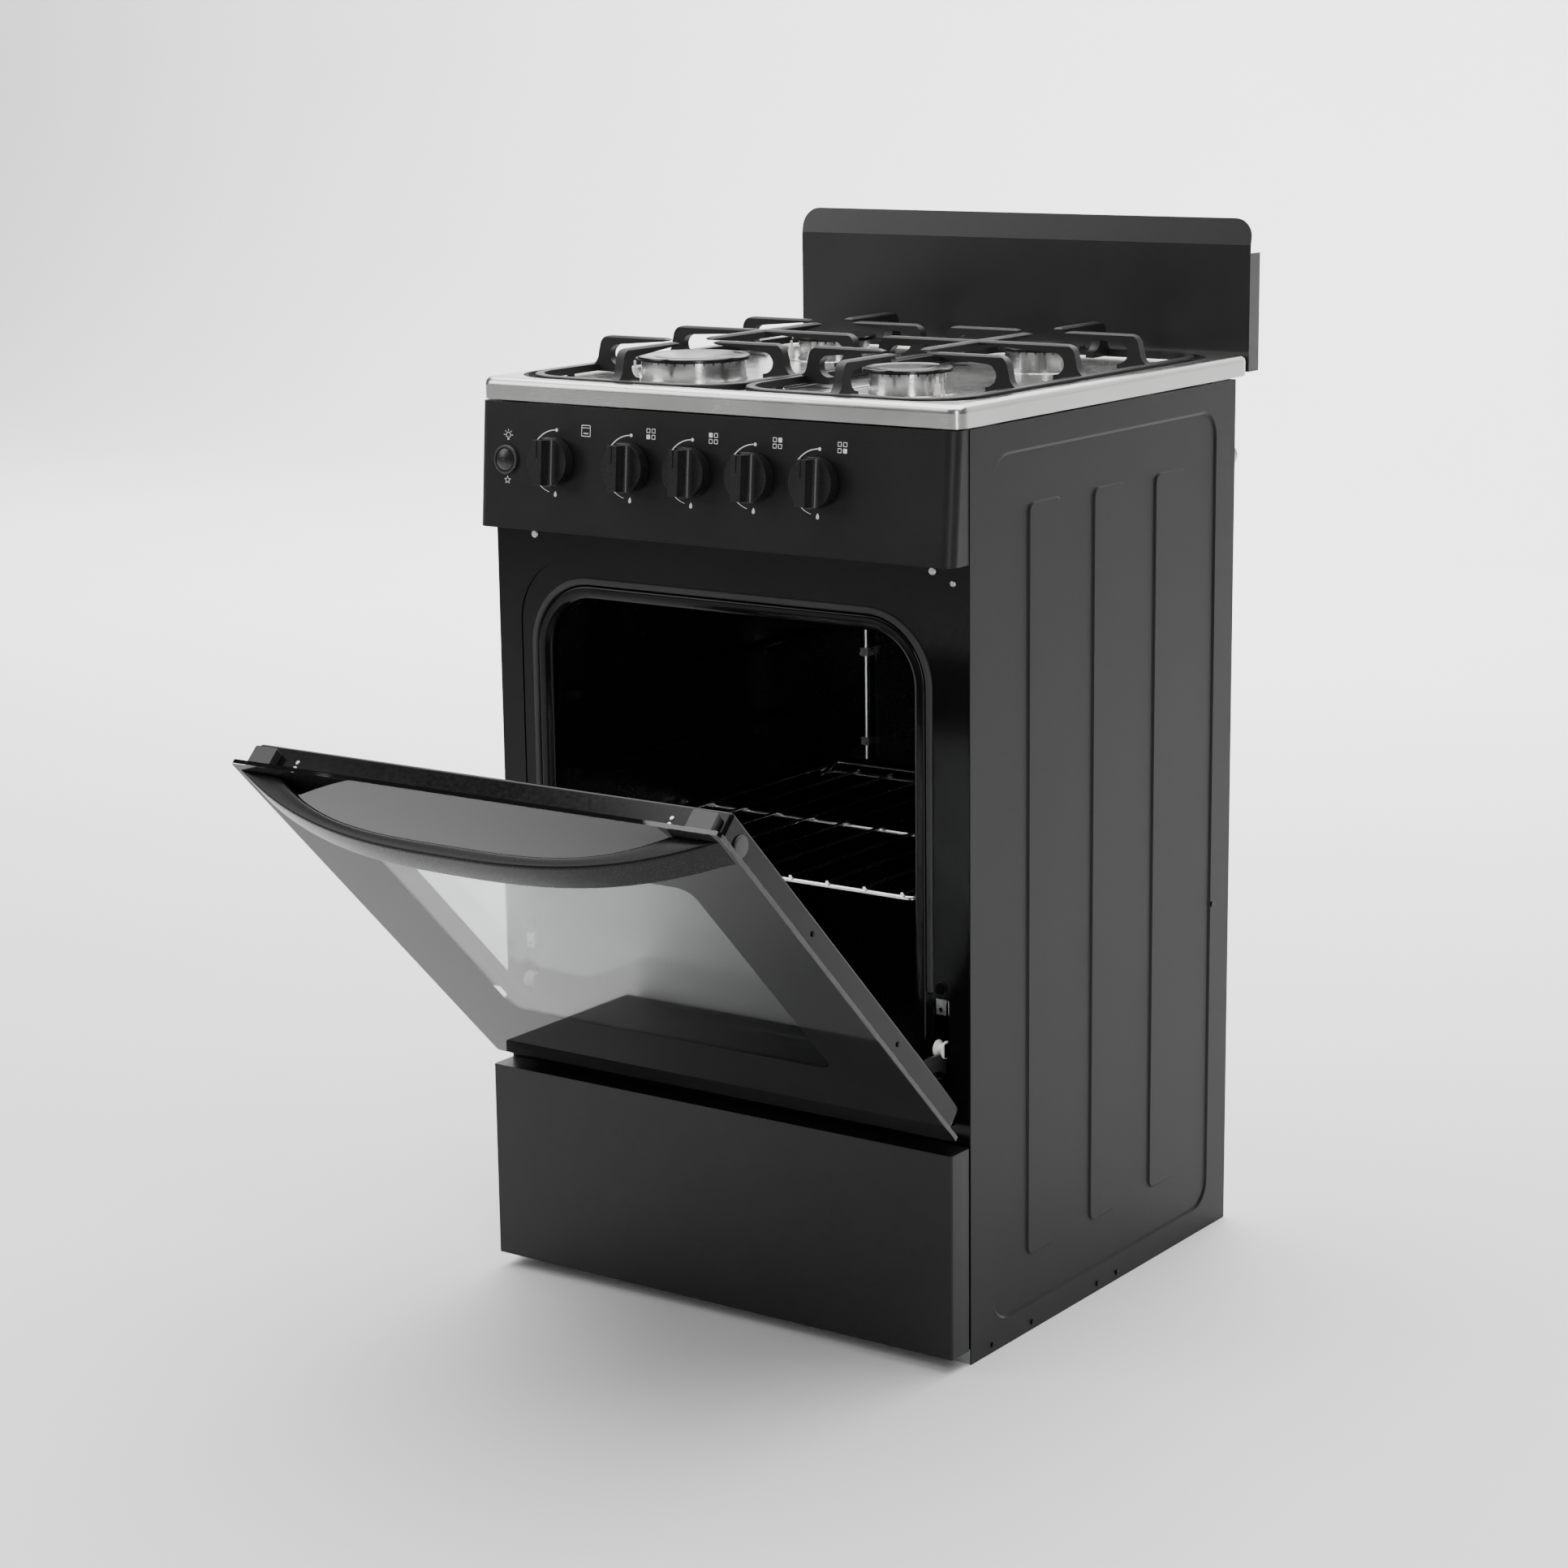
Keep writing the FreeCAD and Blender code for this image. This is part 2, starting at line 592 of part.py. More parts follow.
def thermostat_bulb():
    """Temperature-sensing rod held upright on the rear wall by two clips."""
    y = OVEN_REAR_Y - 6
    rod = cylinder((BULB_X, y, BULB_BOTTOM), (BULB_X, y, BULB_TOP), 3.0)
    clips = []
    for z in (BULB_BOTTOM + 14, BULB_TOP - 26):
        clips.append(box((BULB_X - 4.5, y - 4.2, z), (BULB_X + 4.5, OVEN_REAR_Y, z + 8)))
    return fuse([rod] + clips)


def oven_lamp():
    """Round glass lamp cover on the right wall, with its holder outside the oven."""
    start = LAMP_X + 8.8
    glass = cylinder((LAMP_X - 2, LAMP_Y, LAMP_Z), (start, LAMP_Y, LAMP_Z), 16.5)
    rims = [e for e in glass.Edges if e.CenterOfMass.x < LAMP_X and e.Length > 50]
    glass = glass.makeFillet(6.0, rims)
    collar = cylinder((start, LAMP_Y, LAMP_Z), (start + 3.2, LAMP_Y, LAMP_Z), 17.3)
    holder = cylinder((start + 3.2, LAMP_Y, LAMP_Z), (start + 30, LAMP_Y, LAMP_Z), 13.0)
    return fuse([glass, collar, holder])


# ---- oven rack ----------------------------------------------------------------------
RACK_HALF_WIDTH = 185.5
RACK_FRONT = -212.0
RACK_REAR = 178.0
RACK_MID = -12.0
FRAME_WIRE = 2.6
BAR_WIRE = 1.7


def bent_wire(points, bend, radius):
    """Round wire along straight runs joined by arcs; first and last points are its ends."""
    edges = []
    start = points[0]
    for corner, after in zip(points[1:-1], points[2:]):
        into = (corner - start).normalize()
        away = (after - corner).normalize()
        half = into.getAngle(away) / 2
        back_off = bend * math.tan(half)
        arc_start = corner - into * back_off
        arc_end = corner + away * back_off
        inward = (away - into).normalize()
        middle = corner + inward * (bend / math.cos(half) - bend)
        edges.append(Part.LineSegment(start, arc_start).toShape())
        edges.append(Part.Arc(arc_start, middle, arc_end).toShape())
        start = arc_end
    edges.append(Part.LineSegment(start, points[-1]).toShape())
    path = Part.Wire(edges)
    profile = Part.Wire(Part.makeCircle(radius, points[0], points[1] - points[0]))
    return path.makePipeShell([profile], True, False)


def oven_rack():
    """Wire shelf: a closed frame, three cross wires, ten long bars and a raised rear stop."""
    x, z = RACK_HALF_WIDTH, RACK_Z
    loop = [
        V(0, RACK_FRONT, z),
        V(x, RACK_FRONT, z),
        V(x, RACK_REAR, z),
        V(-x, RACK_REAR, z),
        V(-x, RACK_FRONT, z),
        V(0, RACK_FRONT, z),
    ]
    pieces = [bent_wire(loop, 10.0, FRAME_WIRE)]
    pieces.append(cylinder((-x, RACK_MID, z), (x, RACK_MID, z), FRAME_WIRE))
    bar_z = z + FRAME_WIRE + BAR_WIRE - 0.6
    for n in range(10):
        bar_x = (n - 4.5) * RACK_PITCH
        pieces.append(cylinder((bar_x, RACK_FRONT - 3.4, bar_z), (bar_x, RACK_REAR + 3, bar_z), BAR_WIRE))
    stop_x = 4.5 * RACK_PITCH - 10
    stop_z = z + 9.0
    stop = [
        V(-stop_x, RACK_REAR - 22, z + 1),
        V(-stop_x, RACK_REAR + 4, stop_z),
        V(stop_x, RACK_REAR + 4, stop_z),
        V(stop_x, RACK_REAR - 22, z + 1),
    ]
    pieces.append(bent_wire(stop, 4.0, FRAME_WIRE - 0.6))
    for side in (-1, 1):
        foot = cylinder((side * stop_x, RACK_REAR - 22.5, z + 1), (side * stop_x, RACK_REAR, z), BAR_WIRE)
        pieces.append(foot)
    return fuse(pieces)


# ---- control panel and gas train ----------------------------------------------------
def panel_block(inset, back):
    """Wedge-shaped block of the control panel, shrunk by inset, reaching back to y = back."""
    rise = PANEL_TOP_Z - PANEL_BOTTOM_Z
    slope = (PANEL_BOTTOM_DEPTH - PANEL_TOP_DEPTH) / rise
    low, high = PANEL_BOTTOM_Z + inset, PANEL_TOP_Z - inset
    face_low = FRONT - PANEL_BOTTOM_DEPTH + inset + slope * inset
    face_high = face_low + slope * (high - low)
    x = PANEL_HALF_WIDTH - inset
    outline = [V(-x, back, low), V(-x, face_low, low), V(-x, face_high, high), V(-x, back, high)]
    block = prism(outline, V(2 * x, 0, 0))
    upright = [
        e
        for e in block.Edges
        if abs(abs(e.CenterOfMass.x) - x) < 0.01 and e.BoundBox.ZLength > 50 and e.CenterOfMass.y < FRONT - 5
    ]
    return block.makeFillet(10.0 - inset, upright)


def control_panel():
    """Folded box with a leaning face, bored for the five tap stems and the rocker."""
    shell = panel_block(0, FRONT).cut(panel_block(SHEET, FRONT + 1))
    bores = [
        cylinder((x, KNOB_UP, -5), (x, KNOB_UP, 3), 7.0) for x in KNOB_XS.values()
    ]
    bores.append(cylinder((ROCKER_X, ROCKER_UP, -5), (ROCKER_X, ROCKER_UP, 3), 11.6))
    return cut(shell, [on_panel(bore) for bore in bores])


VALVE_FRONT = -16.0
VALVE_LENGTH = 30.0


def gas_valves():
    """Five tap bodies, each a bored barrel with a foot on the manifold and a rear outlet."""
    bodies = []
    for x in KNOB_XS.values():
        barrel = cylinder((x, KNOB_UP, VALVE_FRONT - VALVE_LENGTH), (x, KNOB_UP, VALVE_FRONT), 10.0)
        nose = cylinder((x, KNOB_UP, VALVE_FRONT), (x, KNOB_UP, VALVE_FRONT + 8), 7.0)
        bore = cylinder(
            (x, KNOB_UP, VALVE_FRONT - 18), (x, KNOB_UP, VALVE_FRONT + 9), STEM_RADIUS + FIT_GAP
        )
        tap = on_panel(fuse([barrel, nose]).cut(bore))
        foot = box(
            (x - 7, MANIFOLD_Y - 7, MANIFOLD_Z + MANIFOLD_SIDE / 2), (x + 7, MANIFOLD_Y + 7, MANIFOLD_Z + 19)
        )
        bodies.append(fuse([tap, foot.cut(on_panel(bore))]))
    return Part.makeCompound(bodies)


def gas_manifold():
    """Square steel tube that feeds the five taps, closed at both ends."""
    half = MANIFOLD_SIDE / 2
    x0, x1 = -182.0, INLET_X + half
    low = (x0, MANIFOLD_Y - half, MANIFOLD_Z - half)
    high = (x1, MANIFOLD_Y + half, MANIFOLD_Z + half)
    wall = 1.5
    outer = box(low, high)
    inner = box(
        (x0 + wall, low[1] + wall, low[2] + wall), (x1 - wall, high[1] - wall, high[2] - wall)
    )
    outlet = cylinder((INLET_X, MANIFOLD_Y, MANIFOLD_Z), (INLET_X, MANIFOLD_Y + 20, MANIFOLD_Z), 5.0)
    straps = []
    frame_back = FRONT + SHEET
    for x in (-125.0, 80.0):
        straps.append(box((x, frame_back, 688), (x + 15, frame_back + 1.5, MANIFOLD_Z + 2)))
        straps.append(box((x, frame_back, MANIFOLD_Z + 0.5), (x + 15, low[1] + 0.5, MANIFOLD_Z + 2)))
    return fuse([outer] + straps).cut(inner).cut(outlet)


def gas_inlet():
    """Supply pipe along the right side, ending in a hexagon and a half-inch nipple behind."""
    y0 = MANIFOLD_Y + MANIFOLD_SIDE / 2
    y1 = BACK + 2
    pipe = cylinder((INLET_X, y0, MANIFOLD_Z), (INLET_X, y1, MANIFOLD_Z), 7.5)
    across = 13.0
    corners = [
        V(INLET_X + across * math.cos(math.radians(60 * n)), y1, MANIFOLD_Z + across * math.sin(math.radians(60 * n)))
        for n in range(6)
    ]
    hexagon = prism(corners, V(0, 9, 0))
    nipple = cylinder((INLET_X, y1 + 9, MANIFOLD_Z), (INLET_X, y1 + 9 + 20, MANIFOLD_Z), INLET_RADIUS)
    bore = cylinder((INLET_X, y0 - 1, MANIFOLD_Z), (INLET_X, y1 + 40, MANIFOLD_Z), 5.0)
    return fuse([pipe, hexagon, nipple]).cut(bore)


TUBE_RADIUS = 3.0
TUBE_ROUTES = {
    "rear_left": (-BURNER_X, BURNER_Y),
    "front_left": (-BURNER_X, -BURNER_Y),
    "front_right": (BURNER_X, -BURNER_Y),
    "rear_right": (BURNER_X, BURNER_Y),
}


def gas_tubes():
    """Thin pipes from each tap to its burner cup, and one down the left side to the oven."""
    depth = math.sin(math.radians(PANEL_LEAN))
    outlet_y = FRONT - PANEL_BOTTOM_DEPTH + KNOB_UP * depth - (VALVE_FRONT - VALVE_LENGTH)
    outlet_z = PANEL_BOTTOM_Z + KNOB_UP * math.cos(math.radians(PANEL_LEAN)) - 3.6
    tubes = []
    for name, (x, y) in TUBE_ROUTES.items():
        start_x = KNOB_XS[name]
        lane = outlet_z + 26 if y < 0 else outlet_z + 12
        cup_wall = y - (RAPID["body"] if name == "front_left" else SEMI["body"]) + 2.9
        route = [
            V(start_x, outlet_y + 0.4, outlet_z),
            V(start_x, outlet_y + 16, outlet_z),
            V(start_x, outlet_y + 16 + (6 if y < 0 else 14), lane),
            V(x, cup_wall - 16, 796.0),
            V(x, cup_wall, 796.0),
        ]
        if y > 0:
            route.insert(3, V(x, cup_wall - 64, lane))
        tubes.append(bent_wire(route, 4.0, TUBE_RADIUS))
    x = KNOB_XS["oven"]
    down_x = -OVEN_HALF_WIDTH - 40
    route = [
        V(x, outlet_y + 0.4, outlet_z),
        V(x, OVEN_BURNER_Y, outlet_z),
        V(down_x, OVEN_BURNER_Y, outlet_z),
        V(down_x, OVEN_BURNER_Y, OVEN_BURNER_Z),
        V(FEED_END_X, OVEN_BURNER_Y, OVEN_BURNER_Z),
    ]
    tubes.append(bent_wire(route, 12.0, TUBE_RADIUS))
    return Part.makeCompound(tubes)


def tap_stem(x):
    """Turned stem of one tap, with a flat where the knob grips it."""
    rod = cylinder((x, KNOB_UP, VALVE_FRONT - 16), (x, KNOB_UP, 15.0), STEM_RADIUS)
    flat = box((x - 5, KNOB_UP + 2.4, 4.0), (x + 5, KNOB_UP + 6, 16.0))
    collar = cylinder((x, KNOB_UP, VALVE_FRONT + 8.6), (x, KNOB_UP, VALVE_FRONT + 10.6), 5.5)
    return on_panel(fuse([rod.cut(flat), collar]))


def knob(x):
    """Round knob with an upright finger bar, scooped flanks and a pointer groove."""
    drum = cylinder((x, KNOB_UP, KNOB_LIFT), (x, KNOB_UP, KNOB_FACE), KNOB_RADIUS)
    edges = [e for e in drum.Edges if e.Length > 100 and e.CenterOfMass.z > KNOB_FACE - 1]
    drum = drum.makeFillet(1.5, edges)
    scoops = []
    for side in (-1, 1):
        near, far = side * 5.0, side * 40.0
        low_x, high_x = sorted((x + near, x + far))
        scoop = box((low_x, KNOB_UP - 40, KNOB_RIM), (high_x, KNOB_UP + 40, KNOB_FACE + 5))
        inner = [
            e
            for e in scoop.Edges
            if abs(e.CenterOfMass.x - (x + near)) < 0.01
            and abs(e.CenterOfMass.z - KNOB_RIM) < 0.01
            and e.Length > 50
        ]
        scoops.append(scoop.makeFillet(6.0, inner))
    body = cut(drum, scoops)
    ends = box((x - 6, KNOB_UP - 40, KNOB_RIM), (x + 6, KNOB_UP - 19.5, KNOB_FACE + 1))
    top_end = box((x - 6, KNOB_UP + 19.5, KNOB_RIM), (x + 6, KNOB_UP + 40, KNOB_FACE + 1))
    groove = box((x - 0.8, KNOB_UP + 4, KNOB_FACE - 0.8), (x + 0.8, KNOB_UP + 19, KNOB_FACE + 1))
    wall = 2.2
    hollow = cylinder((x, KNOB_UP, KNOB_LIFT - 1), (x, KNOB_UP, KNOB_RIM - 3.0), KNOB_RADIUS - wall)
    boss = cylinder((x, KNOB_UP, KNOB_LIFT), (x, KNOB_UP, KNOB_RIM), 7.5)
    bore = cylinder((x, KNOB_UP, KNOB_LIFT - 1), (x, KNOB_UP, 18.5), STEM_RADIUS + FIT_GAP)
    key = box((x - 5, KNOB_UP + 2.6, 7.5), (x + 5, KNOB_UP + 6, 18.5))
    body = cut(body, [ends, top_end, groove, hollow])
    boss = boss.cut(bore)
    body = fuse([body.cut(bore), boss])
    return on_panel(fuse([body, key.common(bore)]))


ROCKER_RADIUS = 9.6
ROCKER_PIVOT_LIFT = -2.0


def rocker_bezel():
    """Round collar in the panel and the switch housing behind it."""
    centre = (ROCKER_X, ROCKER_UP)
    collar = cylinder((*centre, 0), (*centre, 3.0), 13.0)
    edges = [e for e in collar.Edges if e.Length > 50 and e.CenterOfMass.z > 2]
    collar = collar.makeFillet(1.4, edges)
    neck = cylinder((*centre, -22.0), (*centre, 0), 11.4)
    well = cylinder((*centre, -9.0), (*centre, 4.0), ROCKER_RADIUS + 0.9)
    axle_hole = rocker_axle(0.07, 1.0)
    return on_panel(cut(fuse([collar, neck]), [well, axle_hole]))


def rocker_axle(grow, extra):
    """Pin the rocker tips on, or the hole for it."""
    reach = ROCKER_RADIUS + 1.5 + extra
    start = (ROCKER_X - reach, ROCKER_UP, ROCKER_PIVOT_LIFT)
    end = (ROCKER_X + reach, ROCKER_UP, ROCKER_PIVOT_LIFT)
    return cylinder(start, end, 1.0 + grow)


def rocker():
    """Domed rocker that tips up for the lamp and down for the spark."""
    centre = V(ROCKER_X, ROCKER_UP, 0)
    dome_radius = 26.0
    drum = cylinder((centre.x, centre.y, -4.0), (centre.x, centre.y, 6.0), ROCKER_RADIUS)
    ball = Part.makeSphere(dome_radius, V(centre.x, centre.y, 4.6 - dome_radius))
    return on_panel(fuse([drum.common(ball), rocker_axle(0, 0)]))


# ---- hob ----------------------------------------------------------------------------
def hob_recess(grow, floor, top):
    """The sunk field of the hob, grown outwards for its underside."""
    return rounded_box(
        (-RECESS_HALF_WIDTH - grow, RECESS_FRONT - grow, floor),
        (RECESS_HALF_WIDTH + grow, RECESS_BACK + grow, top),
        Z_AXIS,
        RECESS_RADIUS + grow,
    )


def burner_places():
    """Every burner as (x, y, sizes)."""
    return [(*RAPID_PLACE, RAPID)] + [(x, y, SEMI) for x, y in SEMI_PLACES]


def hob_top():
    """Pressed stainless top: rounded rim, sunk field with stiffening ridges, burner holes."""
    x, low, high = HOB_HALF_WIDTH, HOB_SKIRT_Z, HOB_TOP_Z
    block = rounded_box((-x, HOB_FRONT, low), (x, HOB_BACK, high), Z_AXIS, 12)
    rim = [e for e in block.Edges if e.BoundBox.ZMin > high - 0.01]
    block = block.makeFillet(7.0, rim)
    inside = rounded_box((-x + 1, HOB_FRONT + 1, low - 1), (x - 1, HOB_BACK - 1, high - 1), Z_AXIS, 11)
    inner_rim = [e for e in inside.Edges if e.BoundBox.ZMin > high - 1.01]
    inside = inside.makeFillet(6.0, inner_rim)
    well = hob_recess(0, HOB_FLOOR_Z, high + 1)
    lip = [e for e in well.Edges if e.BoundBox.ZMax < HOB_FLOOR_Z + 0.01]
    well = well.makeFillet(3.0, lip)
    under = hob_recess(1, HOB_FLOOR_Z - 1, high)
    shell = block.cut(well).cut(inside.cut(under))
    ridges = [
        box((x0, y0, BODY_HEIGHT), (x0 + 5, y0 + 24, high - 0.5)) for x0 in (-246.0, 241.0) for y0 in (-214.0, 190.0)
    ]
    for centre_x, y0, y1 in ((0.0, -142.0, 142.0), (-52.0, -190.0, -40.0), (52.0, -190.0, -40.0)):
        ridge = rounded_box(
            (centre_x - 7, y0, HOB_FLOOR_Z - 0.5), (centre_x + 7, y1, HOB_FLOOR_Z + 1.5), Z_AXIS, 6.9
        )
        crest = [e for e in ridge.Edges if e.BoundBox.ZMin > HOB_FLOOR_Z + 1.4]
        ridges.append(ridge.makeFillet(1.2, crest))
    holes = []
    for cx, cy, size in burner_places():
        pad = cylinder((cx, cy, HOB_FLOOR_Z - 0.5), (cx, cy, HOB_FLOOR_Z + 0.8), size["body"] + 12)
        pad_rim = [e for e in pad.Edges if e.BoundBox.ZMin > HOB_FLOOR_Z + 0.7]
        ridges.append(pad.makeFillet(0.7, pad_rim))
        holes.append(cylinder((cx, cy, low), (cx, cy, high), size["body"] - 7))
        ex, ey = electrode_place(cx, cy, size)
        holes.append(cylinder((ex, ey, low), (ex, ey, high), 3.2))
    return fuse([shell] + ridges).cut(Part.makeCompound(holes))


def electrode_place(cx, cy, size):
    """Spark electrode's spot, beside its burner on the side away from the middle of the hob."""
    away = 8.0 + size["body"]
    turn = math.radians(200 if cx < 0 else -20)
    return cx + away * math.cos(turn), cy + away * math.sin(turn)


def burner_cups():
    """Four cast cups under the hob that hold the injectors."""
    cups = []
    for cx, cy, size in burner_places():
        outer = cylinder((cx, cy, 786), (cx, cy, HOB_FLOOR_Z - 1), size["body"] - 3)
        inner = cylinder((cx, cy, 789), (cx, cy, HOB_FLOOR_Z), size["body"] - 6.5)
        injector = cylinder((cx, cy, 789), (cx, cy, 797), 5.0)
        cups.append(Part.makeCompound([outer.cut(inner).fuse(injector)]))
    return Part.makeCompound([cup.Solids[0] for cup in cups])


def burner_body(cx, cy, size):
    """Aluminium burner: spigot in the hob, plain wall, slotted crown."""
    radius = size["body"]
    base = HOB_FLOOR_Z + 0.8
    spigot = cylinder((cx, cy, 803), (cx, cy, base), radius - 8)
    foot = cylinder((cx, cy, base), (cx, cy, base + 2), radius + 1.2)
    wall = cylinder((cx, cy, base), (cx, cy, CROWN_Z), radius)
    crown_edge = [e for e in wall.Edges if e.BoundBox.ZMin > CROWN_Z - 0.1]
    wall = wall.makeFillet(0.8, crown_edge)
    core = cylinder((cx, cy, base + 6), (cx, cy, CROWN_Z + 1), radius - 5)
    throat = cylinder((cx, cy, 800), (cx, cy, CROWN_Z + 1), 9.0)
    slots = []
    for n in range(size["slots"]):
        slot = Part.makeBox(7.0, SLOT_WIDTH, SLOT_DEPTH + 1, V(radius - 6, -SLOT_WIDTH / 2, CROWN_Z - SLOT_DEPTH))
        slot.rotate(V(0, 0, 0), Z_AXIS, 360.0 * n / size["slots"])
        slot.translate(V(cx, cy, 0))
        slots.append(slot)
    band = cylinder((cx, cy, base + 11), (cx, cy, base + 12), radius + 1).cut(
        cylinder((cx, cy, base + 10), (cx, cy, base + 13), radius - 0.5)
    )
    return cut(fuse([spigot, foot, wall]), [core, throat, band] + slots)


def burner_cap(cx, cy, size):
    """Enamelled lid: rolled rim, shallow dished top, locating ring below."""
    radius = size["cap"]
    disc = cylinder((cx, cy, CROWN_Z), (cx, cy, CAP_TOP_Z), radius)
    rims = [e for e in disc.Edges if e.Length > 100]
    disc = disc.makeFillet(1.6, [e for e in rims if e.BoundBox.ZMin > CAP_TOP_Z - 0.1])
    ring = cylinder((cx, cy, CROWN_Z - 3), (cx, cy, CROWN_Z), size["body"] - 5.6)
    hollow = cylinder((cx, cy, CROWN_Z - 4), (cx, cy, CROWN_Z + 0.8), size["body"] - 9)
    outer_dish = Part.makeCone(radius - 9, radius - 5, 0.6, V(cx, cy, CAP_TOP_Z - 0.6))
    boss = Part.makeCone(radius - 14, radius - 17, 0.6, V(cx, cy, CAP_TOP_Z - 0.6))
    return fuse([disc.cut(outer_dish), boss, ring]).cut(hollow)


def spark_electrodes():
    """Ceramic electrodes, each with a steel tip pointing up beside its burner's crown."""
    rods = []
    for cx, cy, size in burner_places():
        ex, ey = electrode_place(cx, cy, size)
        ceramic = cylinder((ex, ey, 798), (ex, ey, 827), 2.8)
        collar = cylinder((ex, ey, HOB_FLOOR_Z + 0.8), (ex, ey, HOB_FLOOR_Z + 3), 3.6)
        tip = cylinder((ex, ey, 827), (ex, ey, 833), 1.1)
        rods.append(fuse([ceramic, collar, tip]))
    return Part.makeCompound(rods)


def spark_generator():
    """Small ignition module on the inside of the back cover."""
    y1 = BACK - 2.1
    case = rounded_box((-70, y1 - 26, 716), (-10, y1, 756), Y_AXIS, 3)
    terminals = [cylinder((-60 + n * 13, y1 - 32, 736), (-60 + n * 13, y1 - 26, 736), 2.5) for n in range(4)]
    return fuse([case] + terminals)


# ---- pan supports -------------------------------------------------------------------
def finger_outline(length):
    """Side view of one support finger, from its foot at 0 to its tip at length."""
    top = GRATE_TOP_Z
    base = 820.0
    points = {
        "toe": V(0, 0, base),
        "toe_top": V(0, 0, base + 5),
        "shin": V(9.5, 0, base + 17),
        "knee": V(11, 0, top - 10),
        "crest": V(22, 0, top),
        "tip_top": V(length - 5, 0, top),
        "tip": V(length, 0, top - 1.4),
        "tip_low": V(length - 4, 0, top - 3.2),
        "belly": V(33, 0, top - 7.5),
        "ham": V(22, 0, base + 16),
        "heel": V(33, 0, base + 6),
        "heel_low": V(33, 0, base),
    }
    p = points
    edges = [
        Part.LineSegment(p["toe"], p["toe_top"]),
        Part.Arc(p["toe_top"], V(6.8, 0, base + 9.5), p["shin"]),
        Part.LineSegment(p["shin"], p["knee"]),
        Part.Arc(p["knee"], V(14.4, 0, top - 2.9), p["crest"]),
        Part.LineSegment(p["crest"], p["tip_top"]),
        Part.LineSegment(p["tip_top"], p["tip"]),
        Part.LineSegment(p["tip"], p["tip_low"]),
        Part.LineSegment(p["tip_low"], p["belly"]),
        Part.Arc(p["belly"], V(25.2, 0, top - 10.3), p["ham"]),
        Part.Arc(p["ham"], V(25.0, 0, base + 9), p["heel"]),
        Part.LineSegment(p["heel"], p["heel_low"]),
        Part.LineSegment(p["heel_low"], p["toe"]),
    ]
    return Part.Wire([e.toShape() for e in edges])


def soft_topped(length):
    """Bar section of a casting, its two upper corners taken off, lying along +X."""
    half = GRATE_BAR / 2
    top = GRATE_TOP_Z
    soft = 1.6
    section = [
        V(0, -half, HOB_FLOOR_Z),
        V(0, half, HOB_FLOOR_Z),
        V(0, half, top - soft),
        V(0, half - soft, top),
        V(0, soft - half, top),
        V(0, -half, top - soft),
    ]
    return prism(section, V(length, 0, 0))


def finger(length):
    """One support finger lying along +X, centred on y = 0, with softened long edges."""
    half = GRATE_BAR / 2
    blade = Part.Face(finger_outline(length)).extrude(V(0, GRATE_BAR, 0))
    blade.translate(V(0, -half, 0))
    return blade.common(soft_topped(length))


def grate(gx):
    """Cast pan support over a front and a rear burner."""
    x, y = GRATE_HALF_WIDTH, GRATE_HALF_LENGTH
    low, high = 820.0, 826.5
    outer = rounded_box((-x, -y, low), (x, y, high), Z_AXIS, 50)
    crest = [e for e in outer.Edges if e.BoundBox.ZMin > high - 0.01]
    outer = outer.makeFillet(1.5, crest)
    inner = rounded_box((-x + 8, -y + 8, low - 1), (x - 8, y - 8, high + 1), Z_AXIS, 42)
    pieces = [outer.cut(inner)]
    side_length = x - FINGER_TO_BURNER
    end_length = y - BURNER_Y - FINGER_TO_BURNER
    for centre_y in (-BURNER_Y, BURNER_Y):
        for turn in (0, 180):
            piece = finger(side_length)
            piece.translate(V(-x, 0, 0))
            piece.rotate(V(0, 0, 0), Z_AXIS, turn)
            piece.translate(V(0, centre_y, 0))
            pieces.append(piece)
    for turn in (90, 270):
        piece = finger(end_length)
        piece.translate(V(-y, 0, 0))
        piece.rotate(V(0, 0, 0), Z_AXIS, turn)
        pieces.append(piece)
    for turn in (0, 180):
        piece = finger(x + 10)
        piece.translate(V(-x, 0, 0))
        piece.rotate(V(0, 0, 0), Z_AXIS, turn)
        pieces.append(piece)
    reach = BURNER_Y - FINGER_TO_BURNER
    top = GRATE_TOP_Z
    half = GRATE_BAR / 2
    spine = [
        V(-half, -reach, top - 1.4),
        V(-half, -reach + 5, top),
        V(-half, reach - 5, top),
        V(-half, reach, top - 1.4),
        V(-half, reach - 4, top - 3.2),
        V(-half, 40, top - 7.5),
        V(-half, -40, top - 7.5),
        V(-half, -reach + 4, top - 3.2),
    ]
    section = soft_topped(2 * reach)
    section.rotate(V(0, 0, 0), Z_AXIS, 90)
    section.translate(V(0, -reach, 0))
    pieces.append(prism(spine, V(GRATE_BAR, 0, 0)).common(section))
    for corner_x in (-x + 4, x - 4):
        for corner_y in (-150.0, 150.0):
            pieces.append(cylinder((corner_x, corner_y, HOB_FLOOR_Z), (corner_x, corner_y, low + 1), 3.6))
    whole = fuse(pieces)
    whole.translate(V(gx, 0, 0))
    return whole


# ---- oven door ----------------------------------------------------------------------
PAN_HALF_WIDTH = 243.0
PAN_BOTTOM = 5.0
PAN_TOP = 456.0
PAN_SHEET = 1.2
WINDOW_HALF_WIDTH = 178.0
WINDOW_BOTTOM = 97.0
WINDOW_TOP = 380.0


def door_outer_glass():
    """Full-size front pane."""
    pane = rounded_box(
        (-HALF_WIDTH, 0, -DOOR_GLASS), (HALF_WIDTH, DOOR_HEIGHT, 0), Z_AXIS, 4
    )
    return on_door(pane)


